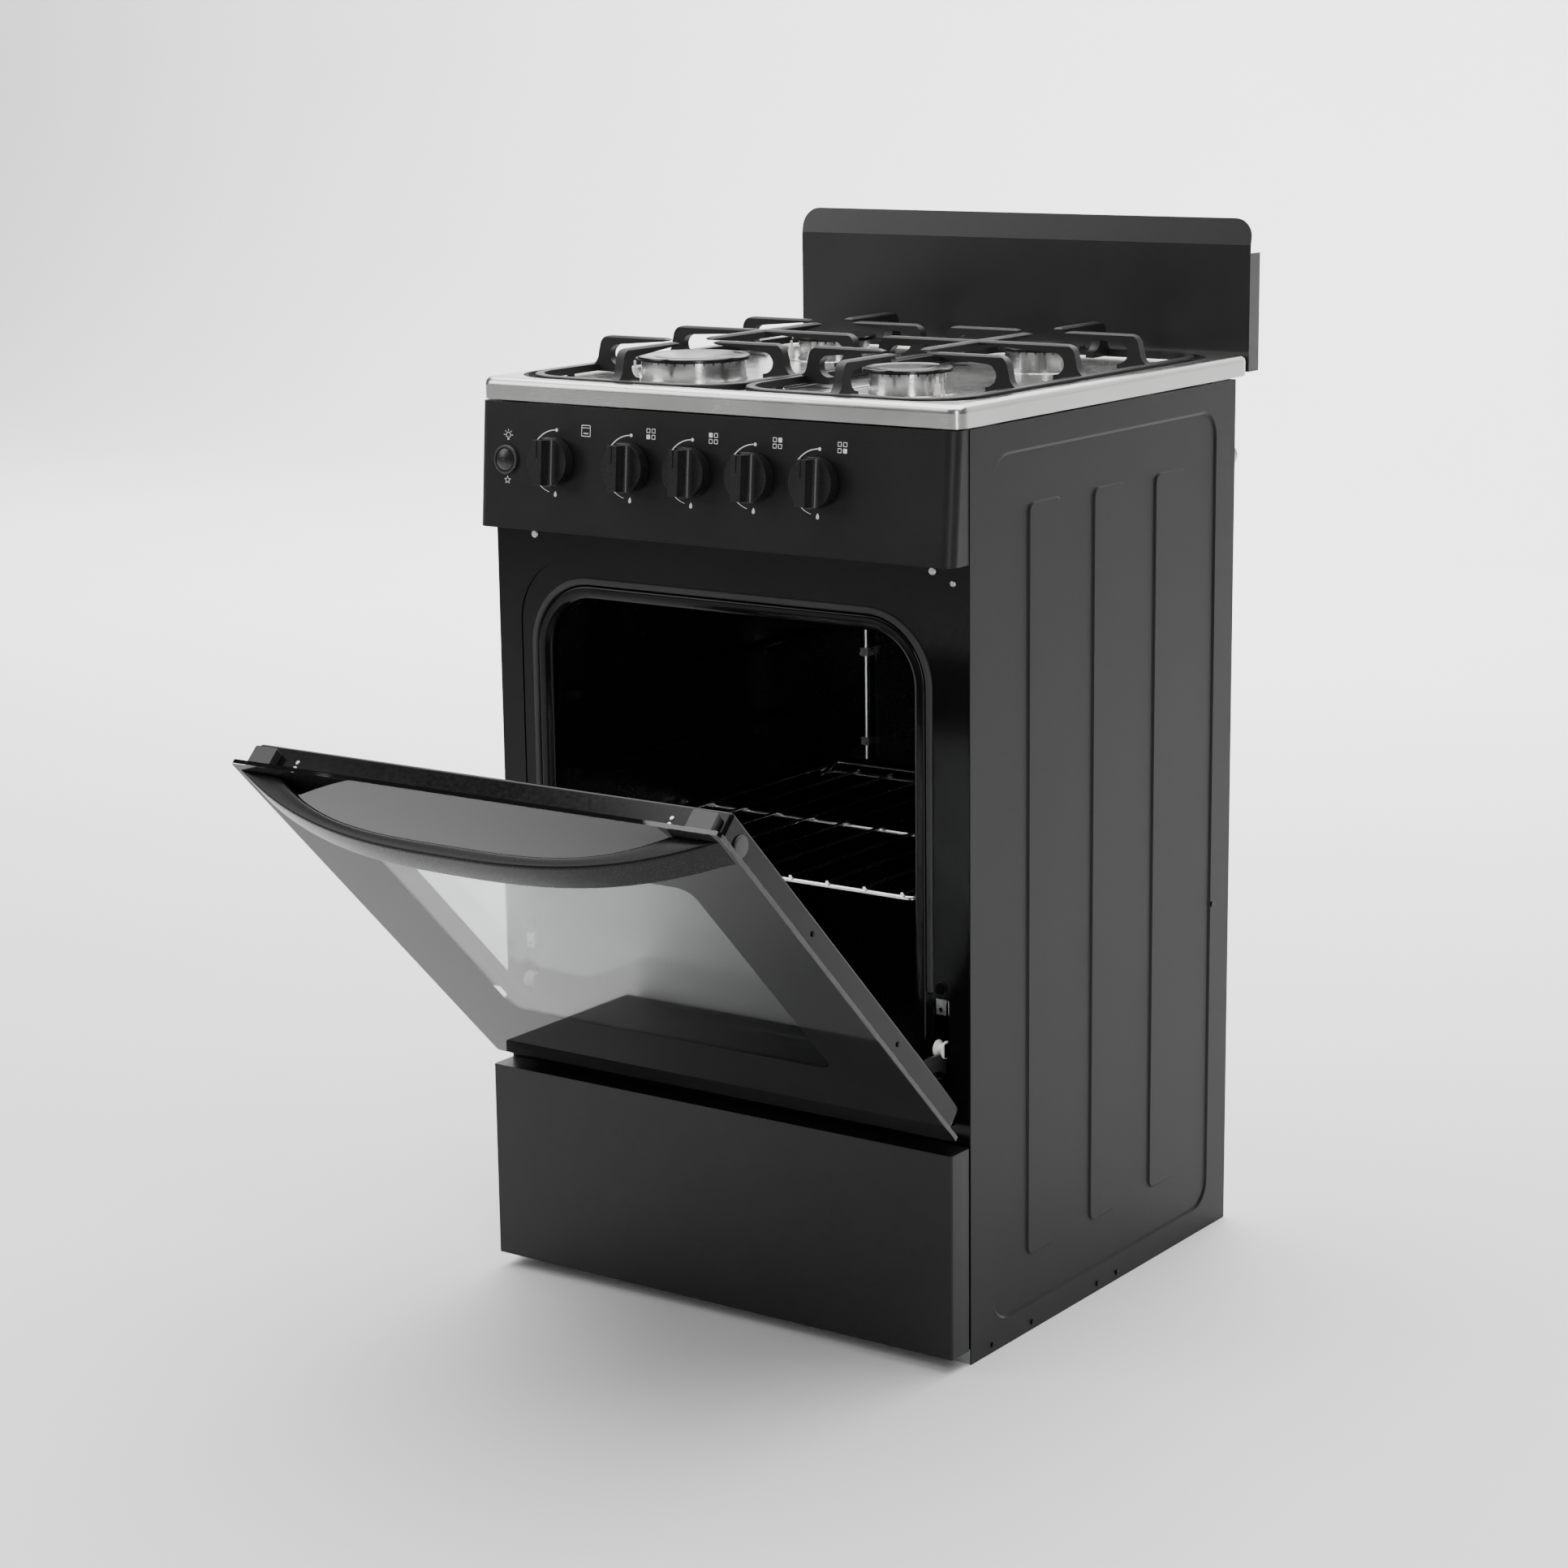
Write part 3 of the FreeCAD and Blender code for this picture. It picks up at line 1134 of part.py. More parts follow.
def door_inner_pan():
    """Sheet-steel pan behind the glass, with a window and slots for the hinge parts."""
    low, high = -DOOR_PAN_BACK, -DOOR_GLASS
    outer = rounded_box((-PAN_HALF_WIDTH, PAN_BOTTOM, low), (PAN_HALF_WIDTH, PAN_TOP, high), Z_AXIS, 4)
    back_edges = [e for e in outer.Edges if e.BoundBox.ZMax < low + 0.01]
    outer = outer.makeFillet(3.0, back_edges)
    inner = rounded_box(
        (-PAN_HALF_WIDTH + PAN_SHEET, PAN_BOTTOM + PAN_SHEET, low + PAN_SHEET),
        (PAN_HALF_WIDTH - PAN_SHEET, PAN_TOP - PAN_SHEET, high - PAN_SHEET),
        Z_AXIS,
        3,
    )
    mouth = rounded_box(
        (-PAN_HALF_WIDTH + 14, PAN_BOTTOM + 14, high - 2), (PAN_HALF_WIDTH - 14, PAN_TOP - 14, high + 1), Z_AXIS, 6
    )
    window = rounded_box(
        (-WINDOW_HALF_WIDTH, WINDOW_BOTTOM, low - 1), (WINDOW_HALF_WIDTH, WINDOW_TOP, low + 3), Z_AXIS, 14
    )
    tools = [inner, mouth, window]
    for side in (-1, 1):
        low_x, high_x = sorted((side * (ARM_X - 9), side * (ARM_X + 14)))
        tools.append(box((low_x, PAN_BOTTOM - 1, low - 1), (high_x, 82, low + 3.5)))
        tools.append(box((low_x, PAN_BOTTOM - 1, low - 1), (high_x, PAN_BOTTOM + 3, high + 1)))
        tools.append(box((low_x, PAN_BOTTOM - 1, high - 2), (high_x, PAN_BOTTOM + 16, high + 1)))
    tools += [screw_hole(spot, out, radius) for spot, out, radius in door_screw_places()]
    return on_door(cut(outer, tools))


def door_inner_glass():
    """Second pane, inside the pan behind the window."""
    low = -DOOR_PAN_BACK + PAN_SHEET
    pane = rounded_box(
        (-WINDOW_HALF_WIDTH - 12, WINDOW_BOTTOM - 12, low), (WINDOW_HALF_WIDTH + 12, WINDOW_TOP + 12, low + 4), Z_AXIS, 8
    )
    return on_door(pane)


def door_top_blocks():
    """Moulded end pieces on the pan's top edge, and a round plug in each side."""
    block = rounded_box((213, PAN_TOP, -22), (237, PAN_TOP + 8, -DOOR_GLASS), Y_AXIS, 2)
    plug = cylinder((PAN_HALF_WIDTH, 431, -14), (PAN_HALF_WIDTH + 2.2, 431, -14), 9.0)
    rim = [e for e in plug.Edges if e.BoundBox.XMin > PAN_HALF_WIDTH + 2 and e.Length > 20]
    plug = plug.makeFillet(1.2, rim)
    pieces = [block, plug]
    return Part.makeCompound([on_door(p) for piece in pieces for p in (piece, mirrored(piece))])


HANDLE_LOW = 428.0
HANDLE_HIGH = 458.0
HANDLE_HALF_WIDTH = 245.0
HANDLE_BOW = 50.0
HANDLE_THICKNESS = 12.0
HANDLE_GRIP = 200.0
BOW_POWER = 2.7
BOW_STEPS = 20


def bow_curve(half_width, depth, power):
    """Smooth curve from one end of the handle to the other, bulging out of the door."""
    points = []
    for n in range(BOW_STEPS + 1):
        x = half_width * (2.0 * n / BOW_STEPS - 1)
        points.append(V(x, 0, depth * (1 - abs(x / half_width) ** power)))
    curve = Part.BSplineCurve()
    curve.interpolate(points)
    return curve.toShape()


def door_handle():
    """Full-width bowed grip with solid ends that stand on the glass."""
    outer = bow_curve(HANDLE_HALF_WIDTH, HANDLE_BOW, BOW_POWER)
    base = Part.LineSegment(V(HANDLE_HALF_WIDTH, 0, 0), V(-HANDLE_HALF_WIDTH, 0, 0)).toShape()
    lift = V(0, HANDLE_HIGH - HANDLE_LOW, 0)
    solid = Part.Face(Part.Wire([outer, base])).extrude(lift)
    inner = bow_curve(HANDLE_GRIP, HANDLE_BOW - HANDLE_THICKNESS, 3.4)
    inner_base = Part.LineSegment(V(HANDLE_GRIP, 0, 0), V(-HANDLE_GRIP, 0, 0)).toShape()
    gap = Part.Face(Part.Wire([inner, inner_base])).extrude(lift + V(0, 4, 0))
    gap.translate(V(0, -2, 0))
    grip = solid.cut(gap)
    grip.translate(V(0, HANDLE_LOW, 0))
    return on_door(grip)


def door_screw_places():
    """Spots, directions and head radii: two on the pan's top edge and two on its flank, each side."""
    places = []
    for side in (-1, 1):
        for depth in (-10.0, -15.5):
            places.append((V(side * 192, PAN_TOP, depth), Y_AXIS, 1.9))
        for up in (130.0, 300.0):
            places.append((V(side * PAN_HALF_WIDTH, up, -18), V(side, 0, 0), 2.4))
    return places


def door_screws():
    """Small pan-head screws that close the door's pan."""
    heads = [screw(spot, out, radius, radius * 0.5, 5.0) for spot, out, radius in door_screw_places()]
    return Part.makeCompound([on_door(head) for head in heads])


# ---- door hinges --------------------------------------------------------------------
def sector(inner, outer, start, end, x0, x1):
    """Flat ring segment about the door's axis, between two angles from upright."""
    ring = Part.makeCylinder(outer, x1 - x0, V(x0, PIVOT.y, PIVOT.z), X_AXIS)
    ring = ring.cut(Part.makeCylinder(inner, x1 - x0 + 2, V(x0 - 1, PIVOT.y, PIVOT.z), X_AXIS))
    far = outer * 3
    middle = (start + end) / 2
    corners = [V(x0 - 1, PIVOT.y, PIVOT.z)]
    for angle in (start, middle, end):
        corners.append(around_pivot(far, angle, x0 - 1))
    wedge = prism(corners, V(x1 - x0 + 2, 0, 0))
    return ring.common(wedge)


def hinge_arm():
    """Right-hand door arm: eye on the pin, foot inside the door, curved blade to the spring."""
    x0, x1 = ARM_X - ARM_THICKNESS / 2, ARM_X + ARM_THICKNESS / 2
    blade = sector(ARM_INNER_RADIUS, ARM_OUTER_RADIUS, ARM_HEAD_ANGLE, ARM_TAIL_ANGLE, x0, x1)
    eye = cylinder((x0, PIVOT.y, PIVOT.z), (x1, PIVOT.y, PIVOT.z), 7.4)
    web = box((x0, PIVOT.y - 7, PIVOT.z), (x1, PIVOT.y + 7, PIVOT.z + ARM_OUTER_RADIUS - 2))
    back = DOOR_FACE_Y + DOOR_GLASS + PAN_SHEET
    foot = box((x0 - 12, back, PIVOT.z + 24), (PAN_HALF_WIDTH - 2, back + 2, PIVOT.z + 96))
    riser = box((x0, back, PIVOT.z + 24), (x1, PIVOT.y + 7, PIVOT.z + 96))
    slope = box((x0 - 1, PIVOT.y + 2, PIVOT.z + 46), (x1 + 1, PIVOT.y + 20, PIVOT.z + 97))
    bore = cylinder((x0 - 1, PIVOT.y, PIVOT.z), (x1 + 1, PIVOT.y, PIVOT.z), PIN_RADIUS + FIT_GAP)
    hook_point = around_pivot((ARM_INNER_RADIUS + ARM_OUTER_RADIUS) / 2, ARM_TAIL_ANGLE - 8)
    hook = cylinder((x0 - 1, hook_point.y, hook_point.z), (x1 + 1, hook_point.y, hook_point.z), 2.2)
    riser = riser.cut(slope)
    arm = fuse([blade, eye, web, foot, riser])
    return opened(cut(arm, [bore, hook]))


def roller_centre():
    """Middle of the right-hand roller."""
    radius = ARM_OUTER_RADIUS + ROLLER_GAP + ROLLER_GROOVE_RADIUS
    return around_pivot(radius, ROLLER_ANGLE)


def hinge_roller():
    """Grooved nylon roller that the arm's curved edge runs in."""
    centre = roller_centre()
    half = ROLLER_WIDTH / 2
    base, rim = ROLLER_GROOVE_RADIUS, ROLLER_RIM_RADIUS
    bore = 2.0 + FIT_GAP
    profile = [
        V(-half, bore, 0),
        V(-half, rim - 0.6, 0),
        V(-half + 0.6, rim, 0),
        V(-3.4, rim, 0),
        V(-1.9, base, 0),
        V(1.9, base, 0),
        V(3.4, rim, 0),
        V(half - 0.6, rim, 0),
        V(half, rim - 0.6, 0),
        V(half, bore, 0),
    ]
    face = Part.Face(Part.makePolygon(profile + profile[:1]))
    wheel = face.revolve(V(0, 0, 0), X_AXIS, 360)
    wheel.translate(centre)
    return wheel


def hinge_bracket():
    """Right-hand bracket behind the stile: cheeks, roller pin, pivot pin and front tab."""
    centre = roller_centre()
    cheek = 1.2
    near = ROLLER_WIDTH / 2 + 0.4
    front = centre.y - 4.5
    back = FRONT + 40
    pieces = []
    for side in (-1, 1):
        a, b = sorted((ARM_X + side * near, ARM_X + side * (near + cheek)))
        plate = box((a, FRONT + 2 * SHEET, SLOT_LOW + 1), (b, back, 342))
        nose = box((a, front, centre.z - 6), (b, FRONT + 3, centre.z + 6))
        pieces += [plate, nose]
    bridge = box((ARM_X - near - cheek, back - 1.2, 296), (ARM_X + near + cheek, back, 342))
    flange = box((ARM_X - near - cheek, FRONT + 2 * SHEET, 322), (ARM_X + near + cheek, FRONT + 3.6, 342))
    tab_back = box((ARM_X - 4.5, FRONT - 1.2, 308), (ARM_X + 4.5, FRONT + 3.6, 321.5))
    tab_web = box((ARM_X - 4.5, FRONT + 2 * SHEET, 318), (ARM_X + 4.5, FRONT + 3.6, 324))
    tab_cut = box((ARM_X - 6, FRONT, 305), (ARM_X + 6, FRONT + 3.7, 318))
    tab = fuse([tab_back.cut(tab_cut), tab_web])
    tab_hole = cylinder((ARM_X, FRONT - 3, 312.5), (ARM_X, FRONT, 312.5), 1.9)
    screw_bore = screw_hole(V(ARM_X, FRONT, 331), V(0, -1, 0), 5.5)
    outer_face = ARM_X + near + cheek
    strap = box((outer_face, back - 14, 300), (outer_face + cheek, SPRING_ANCHOR.y + 6, 312))
    tongue = box(
        (outer_face, SPRING_ANCHOR.y - 6, SPRING_ANCHOR.z - 6), (outer_face + cheek, SPRING_ANCHOR.y + 6, 312)
    )
    spring_hole = cylinder(
        (outer_face - 1, SPRING_ANCHOR.y, SPRING_ANCHOR.z), (outer_face + 3, SPRING_ANCHOR.y, SPRING_ANCHOR.z), 2.2
    )
    roller_pin = cylinder(
        (ARM_X - near - cheek, centre.y, centre.z), (ARM_X + near + cheek, centre.y, centre.z), 2.0
    )
    ear_x = ARM_X + 9.0
    ear = box((ear_x, PIVOT.y, PIVOT.z - 8), (ear_x + 2, FRONT + 8, PIVOT.z + 8))
    ear_round = cylinder((ear_x, PIVOT.y, PIVOT.z), (ear_x + 2, PIVOT.y, PIVOT.z), 8.0)
    pin = cylinder((ARM_X - 3.0, PIVOT.y, PIVOT.z), (ear_x + 1, PIVOT.y, PIVOT.z), PIN_RADIUS)
    link = box((ARM_X + near, FRONT + 4, PIVOT.z - 8), (ear_x + 2, FRONT + 8, SLOT_LOW + 8))
    post = box((ARM_X + near, FRONT + 4, SLOT_LOW + 1), (ARM_X + near + cheek, FRONT + 8, SLOT_LOW + 8))
    pieces += [bridge, flange, tab, roller_pin, ear, ear_round, pin, link, post, strap, tongue]
    return cut(fuse(pieces), [tab_hole, screw_bore, spring_hole])


def spring_end():
    """Where the spring hooks into the arm's tail with the door half open."""
    middle = (ARM_INNER_RADIUS + ARM_OUTER_RADIUS) / 2
    return around_pivot(middle, ARM_TAIL_ANGLE - 8 - DOOR_OPEN_AT_REST)


def door_spring():
    """Extension spring from the arm's tail to the cabinet: close coils and two hooks."""
    start, end = spring_end(), SPRING_ANCHOR
    length = (end - start).Length
    along = (end - start).normalize()
    lead = 16.0
    top = length - 2 * lead
    turns = 24
    helix = Part.makeHelix(top / turns, top, SPRING_RADIUS)
    profile = Part.Wire(Part.makeCircle(SPRING_WIRE, V(SPRING_RADIUS, 0, 0), Y_AXIS))
    coil = Part.Wire(helix.Edges).makePipeShell([profile], True, True)
    beside = 3.0
    leads = [
        Part.makeCylinder(SPRING_WIRE, lead, V(beside, 0, top)),
        Part.makeCylinder(SPRING_WIRE, lead, V(beside, 0, -lead)),
        Part.makeCylinder(SPRING_WIRE, SPRING_RADIUS - beside, V(beside, 0, top), X_AXIS),
        Part.makeCylinder(SPRING_WIRE, SPRING_RADIUS - beside, V(beside, 0, 0), X_AXIS),
        Part.makeCylinder(SPRING_WIRE, 6.0, V(beside + SPRING_WIRE, 0, -lead), -X_AXIS),
        Part.makeCylinder(SPRING_WIRE, 7.5, V(beside - SPRING_WIRE, 0, top + lead), X_AXIS),
    ]
    spring = fuse([coil] + leads)
    turn = FreeCAD.Rotation(Z_AXIS, along)
    spring.Placement = FreeCAD.Placement(start + along * lead, turn)
    return spring


# ---- drawer -------------------------------------------------------------------------
def drawer_front():
    """Folded kick panel: face, four returns and a narrow lip all round the back."""
    x, low, high = DRAWER_HALF_WIDTH, DRAWER_BOTTOM_Z, DRAWER_TOP_Z
    outer = rounded_box((-x, DRAWER_FRONT_Y, low), (x, DRAWER_BACK_Y, high), Z_AXIS, 2.0)
    inner = box((-x + 1, DRAWER_FRONT_Y + 1, low + 1), (x - 1, DRAWER_BACK_Y - 1, high - 1))
    mouth = box((-x + 40, DRAWER_BACK_Y - 2, low + 26), (x - 40, DRAWER_BACK_Y + 1, high - 26))
    return cut(outer, [inner, mouth])


def drawer_tray():
    """Open-topped storage tray with a glide along each side."""
    x, low, high = TRAY_HALF_WIDTH, 26.0, 150.0
    front = DRAWER_BACK_Y
    shell = box((-x, front, low), (x, TRAY_REAR_Y, high))
    inside = box((-x + 1, front + 1, low + 1), (x - 1, TRAY_REAR_Y - 1, high + 1))
    wall = box((-222, front, 24), (222, front + 1, 186))
    glide = box((x - 0.5, front + 1, 31.8), (x + 9.5, TRAY_REAR_Y, 33.3))
    return fuse([shell.cut(inside), wall, glide, mirrored(glide)])


def drawer_runners():
    """Two folded rails that stand on the base ring, with a ledge for the tray's glides."""
    x = TRAY_HALF_WIDTH + 1.5
    thick = 1.2
    ledge = box((x, FRONT + 4, 31.4 - thick), (x + 12, 182, 31.4))
    wall = box((x + 12 - thick, FRONT + 4, SHEET), (x + 12, 182, 60))
    foot = box((x + 12, FRONT + 4, SHEET), (x + 24, 182, SHEET + thick))
    return both_sides(fuse([ledge, wall, foot]))


# ---- splashback ---------------------------------------------------------------------
def backsplash():
    """Upright sheet behind the hob: rounded corners, top leaning back, side returns, feet."""
    x, y = SPLASH_HALF_WIDTH, SPLASH_Y
    face = rounded_box((-x, y, SPLASH_BOTTOM - 60), (x, y + 1, SPLASH_TOP), Y_AXIS, 18)
    face = face.common(box((-x, y, SPLASH_BOTTOM), (x, y + 1, SPLASH_FOLD)))
    lean = 12.0
    crown = rounded_box((-x, y, SPLASH_FOLD - 40), (x, y + 1, SPLASH_TOP + 0.6), Y_AXIS, 18)
    crown = crown.common(box((-x, y, SPLASH_FOLD), (x, y + 1, SPLASH_TOP + 0.6)))
    crown.rotate(V(0, y + 1, SPLASH_FOLD), X_AXIS, -lean)
    returns = [
        box((s * x - (SHEET if s > 0 else 0), y, SPLASH_BOTTOM), (s * x + (0 if s > 0 else SHEET), y + SPLASH_FLANGE, 934 - 18))
        for s in (-1, 1)
    ]
    legs = [
        box((s * 180 - 20, y, BRACKET_Z), (s * 180 + 20, y + 1, SPLASH_BOTTOM)) for s in (-1, 1)
    ]
    return fuse([face, crown] + returns + legs)


BRACKET_Z = 762.0


def backsplash_brackets():
    """Two hat-shaped brackets between the back cover and the splashback's legs."""
    y0, y1 = BACK, SPLASH_Y
    web = box((160, y0, BRACKET_Z), (200, y1, BRACKET_Z + 1.5))
    rear = box((160, y0, BRACKET_Z), (200, y0 + 1.5, BRACKET_Z + 32))
    front = box((160, y1 - 1.5, BRACKET_Z), (200, y1, BRACKET_Z + 32))
    return both_sides(fuse([web, rear, front]))


# ---- fasteners ----------------------------------------------------------------------
def cabinet_screws():
    """Screws in the side panels' lower edge, front stiles, hinge brackets and back cover."""
    screws = []
    for y, z in SIDE_SCREW["places"]:
        screws.append(screw(V(HALF_WIDTH, y, z), X_AXIS, SIDE_SCREW["head_radius"], 1.2, 2.0))
    for z in BACK_SCREW["heights"]:
        screws.append(screw(V(BACK_SCREW["x"], BACK, z), Y_AXIS, BACK_SCREW["head_radius"], 1.8, 1.0))
    screws += [mirrored(item) for item in screws]
    for x, z, head_radius in FRONT_SCREWS:
        screws.append(screw(V(x, FRONT, z), V(0, -1, 0), head_radius, 1.9, 4.0))
    return Part.makeCompound(screws)


# ---- build --------------------------------------------------------------------------
def main():
    os.makedirs("parts", exist_ok=True)
    panel = side_panel_right()
    save("side_panel_right", panel)
    save("side_panel_left", mirrored(panel))
    save("base_frame", base_frame())
    save("rear_panel", rear_panel())
    save("front_frame", front_frame())
    save("door_seal", door_seal())
    save("oven_liner", oven_liner())
    save("oven_back_wall", oven_back_wall())
    save("oven_floor_plate", oven_floor_plate())
    save("oven_burner", oven_burner())
    save("oven_insulation", oven_insulation())
    save("thermostat_bulb", thermostat_bulb())
    save("oven_lamp", oven_lamp())
    save("oven_rack", oven_rack())
    save("control_panel", control_panel())
    save("rocker_bezel", rocker_bezel())
    save("rocker", rocker())
    save("gas_valves", gas_valves())
    save("gas_manifold", gas_manifold())
    save("gas_inlet", gas_inlet())
    save("gas_tubes", gas_tubes())
    for name, x in KNOB_XS.items():
        save("tap_stem_" + name, tap_stem(x))
        save("knob_" + name, knob(x))
    save("hob_top", hob_top())
    save("burner_cups", burner_cups())
    save("burner_body_rapid", burner_body(*RAPID_PLACE, RAPID))
    save("burner_cap_rapid", burner_cap(*RAPID_PLACE, RAPID))
    bodies = [burner_body(x, y, SEMI) for x, y in SEMI_PLACES]
    caps = [burner_cap(x, y, SEMI) for x, y in SEMI_PLACES]
    save("burner_bodies_semi", Part.makeCompound(bodies))
    save("burner_caps_semi", Part.makeCompound(caps))
    save("spark_electrodes", spark_electrodes())
    save("spark_generator", spark_generator())
    save("grate_left", grate(-GRATE_X))
    save("grate_right", grate(GRATE_X))
    save("door_outer_glass", door_outer_glass())
    save("door_inner_pan", door_inner_pan())
    save("door_inner_glass", door_inner_glass())
    save("door_top_blocks", door_top_blocks())
    save("door_handle", door_handle())
    save("door_screws", door_screws())
    save("hinge_arms", both_sides(hinge_arm()))
    save("hinge_brackets", both_sides(hinge_bracket()))
    for name, piece in (("hinge_roller", hinge_roller()), ("door_spring", door_spring())):
        save(name + "_right", piece)
        save(name + "_left", mirrored(piece))
    save("drawer_front", drawer_front())
    save("drawer_tray", drawer_tray())
    save("drawer_runners", drawer_runners())
    save("backsplash", backsplash())
    save("backsplash_brackets", backsplash_brackets())
    save("cabinet_screws", cabinet_screws())
    save("cord_gland", cord_gland())


main()
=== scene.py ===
"""Looks of the freestanding gas range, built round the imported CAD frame. Metres, +Z up, -Y front."""

import math

import bmesh
import bpy
from mathutils import Matrix, Vector


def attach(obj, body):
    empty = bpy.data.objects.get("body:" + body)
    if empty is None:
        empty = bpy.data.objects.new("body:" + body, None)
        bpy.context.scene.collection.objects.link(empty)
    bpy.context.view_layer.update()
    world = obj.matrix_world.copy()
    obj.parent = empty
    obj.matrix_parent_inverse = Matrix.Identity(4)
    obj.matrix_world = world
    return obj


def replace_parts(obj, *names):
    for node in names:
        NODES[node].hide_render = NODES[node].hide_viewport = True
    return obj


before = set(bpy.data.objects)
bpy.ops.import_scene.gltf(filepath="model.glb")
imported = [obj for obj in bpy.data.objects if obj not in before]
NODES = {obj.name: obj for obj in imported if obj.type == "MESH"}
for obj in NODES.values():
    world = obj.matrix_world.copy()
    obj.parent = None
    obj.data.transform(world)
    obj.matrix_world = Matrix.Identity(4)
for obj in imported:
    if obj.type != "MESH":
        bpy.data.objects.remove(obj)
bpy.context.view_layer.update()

MM = 0.001

NOISE_LOW, NOISE_HIGH = 0.3, 0.7
RAMP_START, RAMP_END = 0.32, 0.68
NOISE_ROUGHNESS = 0.55
GRAIN_SHARE = 0.6


# ---- materials ----------------------------------------------------------------------
def noise(tree, scale, stretch=(1, 1, 1), detail=3.0):
    """Noise over the object's own coordinates, in cycles per metre."""
    coords = tree.nodes.new("ShaderNodeTexCoord")
    mapping = tree.nodes.new("ShaderNodeMapping")
    mapping.inputs["Scale"].default_value = stretch
    texture = tree.nodes.new("ShaderNodeTexNoise")
    texture.inputs["Scale"].default_value = scale
    texture.inputs["Detail"].default_value = detail
    texture.inputs["Roughness"].default_value = NOISE_ROUGHNESS
    tree.links.new(coords.outputs["Object"], mapping.inputs["Vector"])
    tree.links.new(mapping.outputs["Vector"], texture.inputs["Vector"])
    return texture.outputs["Fac"]


def spread(tree, value, low, high):
    """Map the middle part of a noise value to a range."""
    node = tree.nodes.new("ShaderNodeMapRange")
    node.inputs["From Min"].default_value = NOISE_LOW
    node.inputs["From Max"].default_value = NOISE_HIGH
    node.inputs["To Min"].default_value = low
    node.inputs["To Max"].default_value = high
    tree.links.new(value, node.inputs["Value"])
    return node.outputs["Result"]


def shade(tree, value, dark, light):
    """Colour between two by a noise value."""
    ramp = tree.nodes.new("ShaderNodeValToRGB")
    ramp.color_ramp.elements[0].position = RAMP_START
    ramp.color_ramp.elements[1].position = RAMP_END
    ramp.color_ramp.elements[0].color = (*dark, 1)
    ramp.color_ramp.elements[1].color = (*light, 1)
    tree.links.new(value, ramp.inputs["Fac"])
    return ramp.outputs["Color"]


def material(
    name, dark, light, rough,
    metallic=0.0, cloud=9.0, grain=900.0, stretch=(1, 1, 1), bump=0.0, height=0.0, **sockets
):
    """Surface with slow colour clouds, a finer grain in its gloss, and a bump of the same grain.

    Cloud and grain are in cycles per metre, height is in metres, and rough is a (low, high) pair.
    """
    made = bpy.data.materials.new(name)
    made.use_nodes = True
    tree = made.node_tree
    shader = tree.nodes["Principled BSDF"]
    slow = noise(tree, cloud)
    fine = noise(tree, grain, stretch, detail=2.0)
    tree.links.new(shade(tree, slow, dark, light), shader.inputs["Base Color"])
    mix = tree.nodes.new("ShaderNodeMix")
    mix.inputs["Factor"].default_value = GRAIN_SHARE
    tree.links.new(slow, mix.inputs["A"])
    tree.links.new(fine, mix.inputs["B"])
    gloss = spread(tree, mix.outputs["Result"], rough[0], rough[1])
    tree.links.new(gloss, shader.inputs["Roughness"])
    shader.inputs["Metallic"].default_value = metallic
    if bump:
        bumps = tree.nodes.new("ShaderNodeBump")
        bumps.inputs["Strength"].default_value = bump
        bumps.inputs["Distance"].default_value = height
        tree.links.new(fine, bumps.inputs["Height"])
        tree.links.new(bumps.outputs["Normal"], shader.inputs["Normal"])
    for socket, value in sockets.items():
        shader.inputs[socket.replace("_", " ")].default_value = value
    return made


# Pairs of linear colours, darkest and lightest, shared by several finishes.
COAT_TONES = ((0.0055, 0.0055, 0.006), (0.0085, 0.0085, 0.009))
ZINC_TONES = ((0.42, 0.43, 0.44), (0.60, 0.61, 0.62))
SCREW_TONES = ((0.42, 0.42, 0.43), (0.58, 0.58, 0.59))

POWDER = material(
    "powder_coat", *COAT_TONES, (0.34, 0.46),
    grain=1500, bump=0.4, height=0.00025, Specular_IOR_Level=0.26,
)
SIDE = material(
    "side_coat", *COAT_TONES, (0.32, 0.42),
    grain=1500, bump=0.4, height=0.00025, Specular_IOR_Level=0.15,
)
ENAMEL = material(
    "black_enamel", (0.0025, 0.0025, 0.0025), (0.004, 0.004, 0.004), (0.10, 0.20),
    grain=240, bump=0.04, height=0.0003, Specular_IOR_Level=0.16,
)
LINER = material(
    "oven_enamel", (0.003, 0.003, 0.0032), (0.006, 0.006, 0.0063), (0.16, 0.30),
    grain=420, bump=0.08, height=0.0003,
)
STEEL = material(
    "satin_stainless", (0.54, 0.54, 0.53), (0.64, 0.64, 0.63), (0.17, 0.30),
    metallic=1.0, grain=70, stretch=(1, 30, 30), bump=0.04, height=0.00006,
)
CAST = material(
    "cast_enamel", (0.006, 0.006, 0.006), (0.011, 0.011, 0.011), (0.36, 0.54),
    grain=900, bump=0.35, height=0.0002, Specular_IOR_Level=0.36,
)
CAP = material(
    "cap_enamel", (0.005, 0.005, 0.005), (0.009, 0.009, 0.009), (0.16, 0.28),
    grain=520, bump=0.10, height=0.0002,
)
ALUMINIUM = material(
    "turned_aluminium", (0.80, 0.80, 0.80), (0.88, 0.88, 0.88), (0.17, 0.23),
    metallic=1.0, cloud=5, grain=40,
)
CHROME = material(
    "chrome_wire", (0.74, 0.75, 0.76), (0.86, 0.86, 0.87), (0.16, 0.28),
    metallic=1.0, grain=500, bump=0.03, height=0.0001,
)
ZINC = material(
    "zinc_plate", *ZINC_TONES, (0.24, 0.42),
    metallic=1.0, cloud=90, grain=300, bump=0.05, height=0.0001,
)
BRASS = material(
    "tap_brass", (0.55, 0.38, 0.14), (0.72, 0.53, 0.24), (0.22, 0.38),
    metallic=1.0, cloud=60, grain=500, bump=0.05, height=0.0001,
)
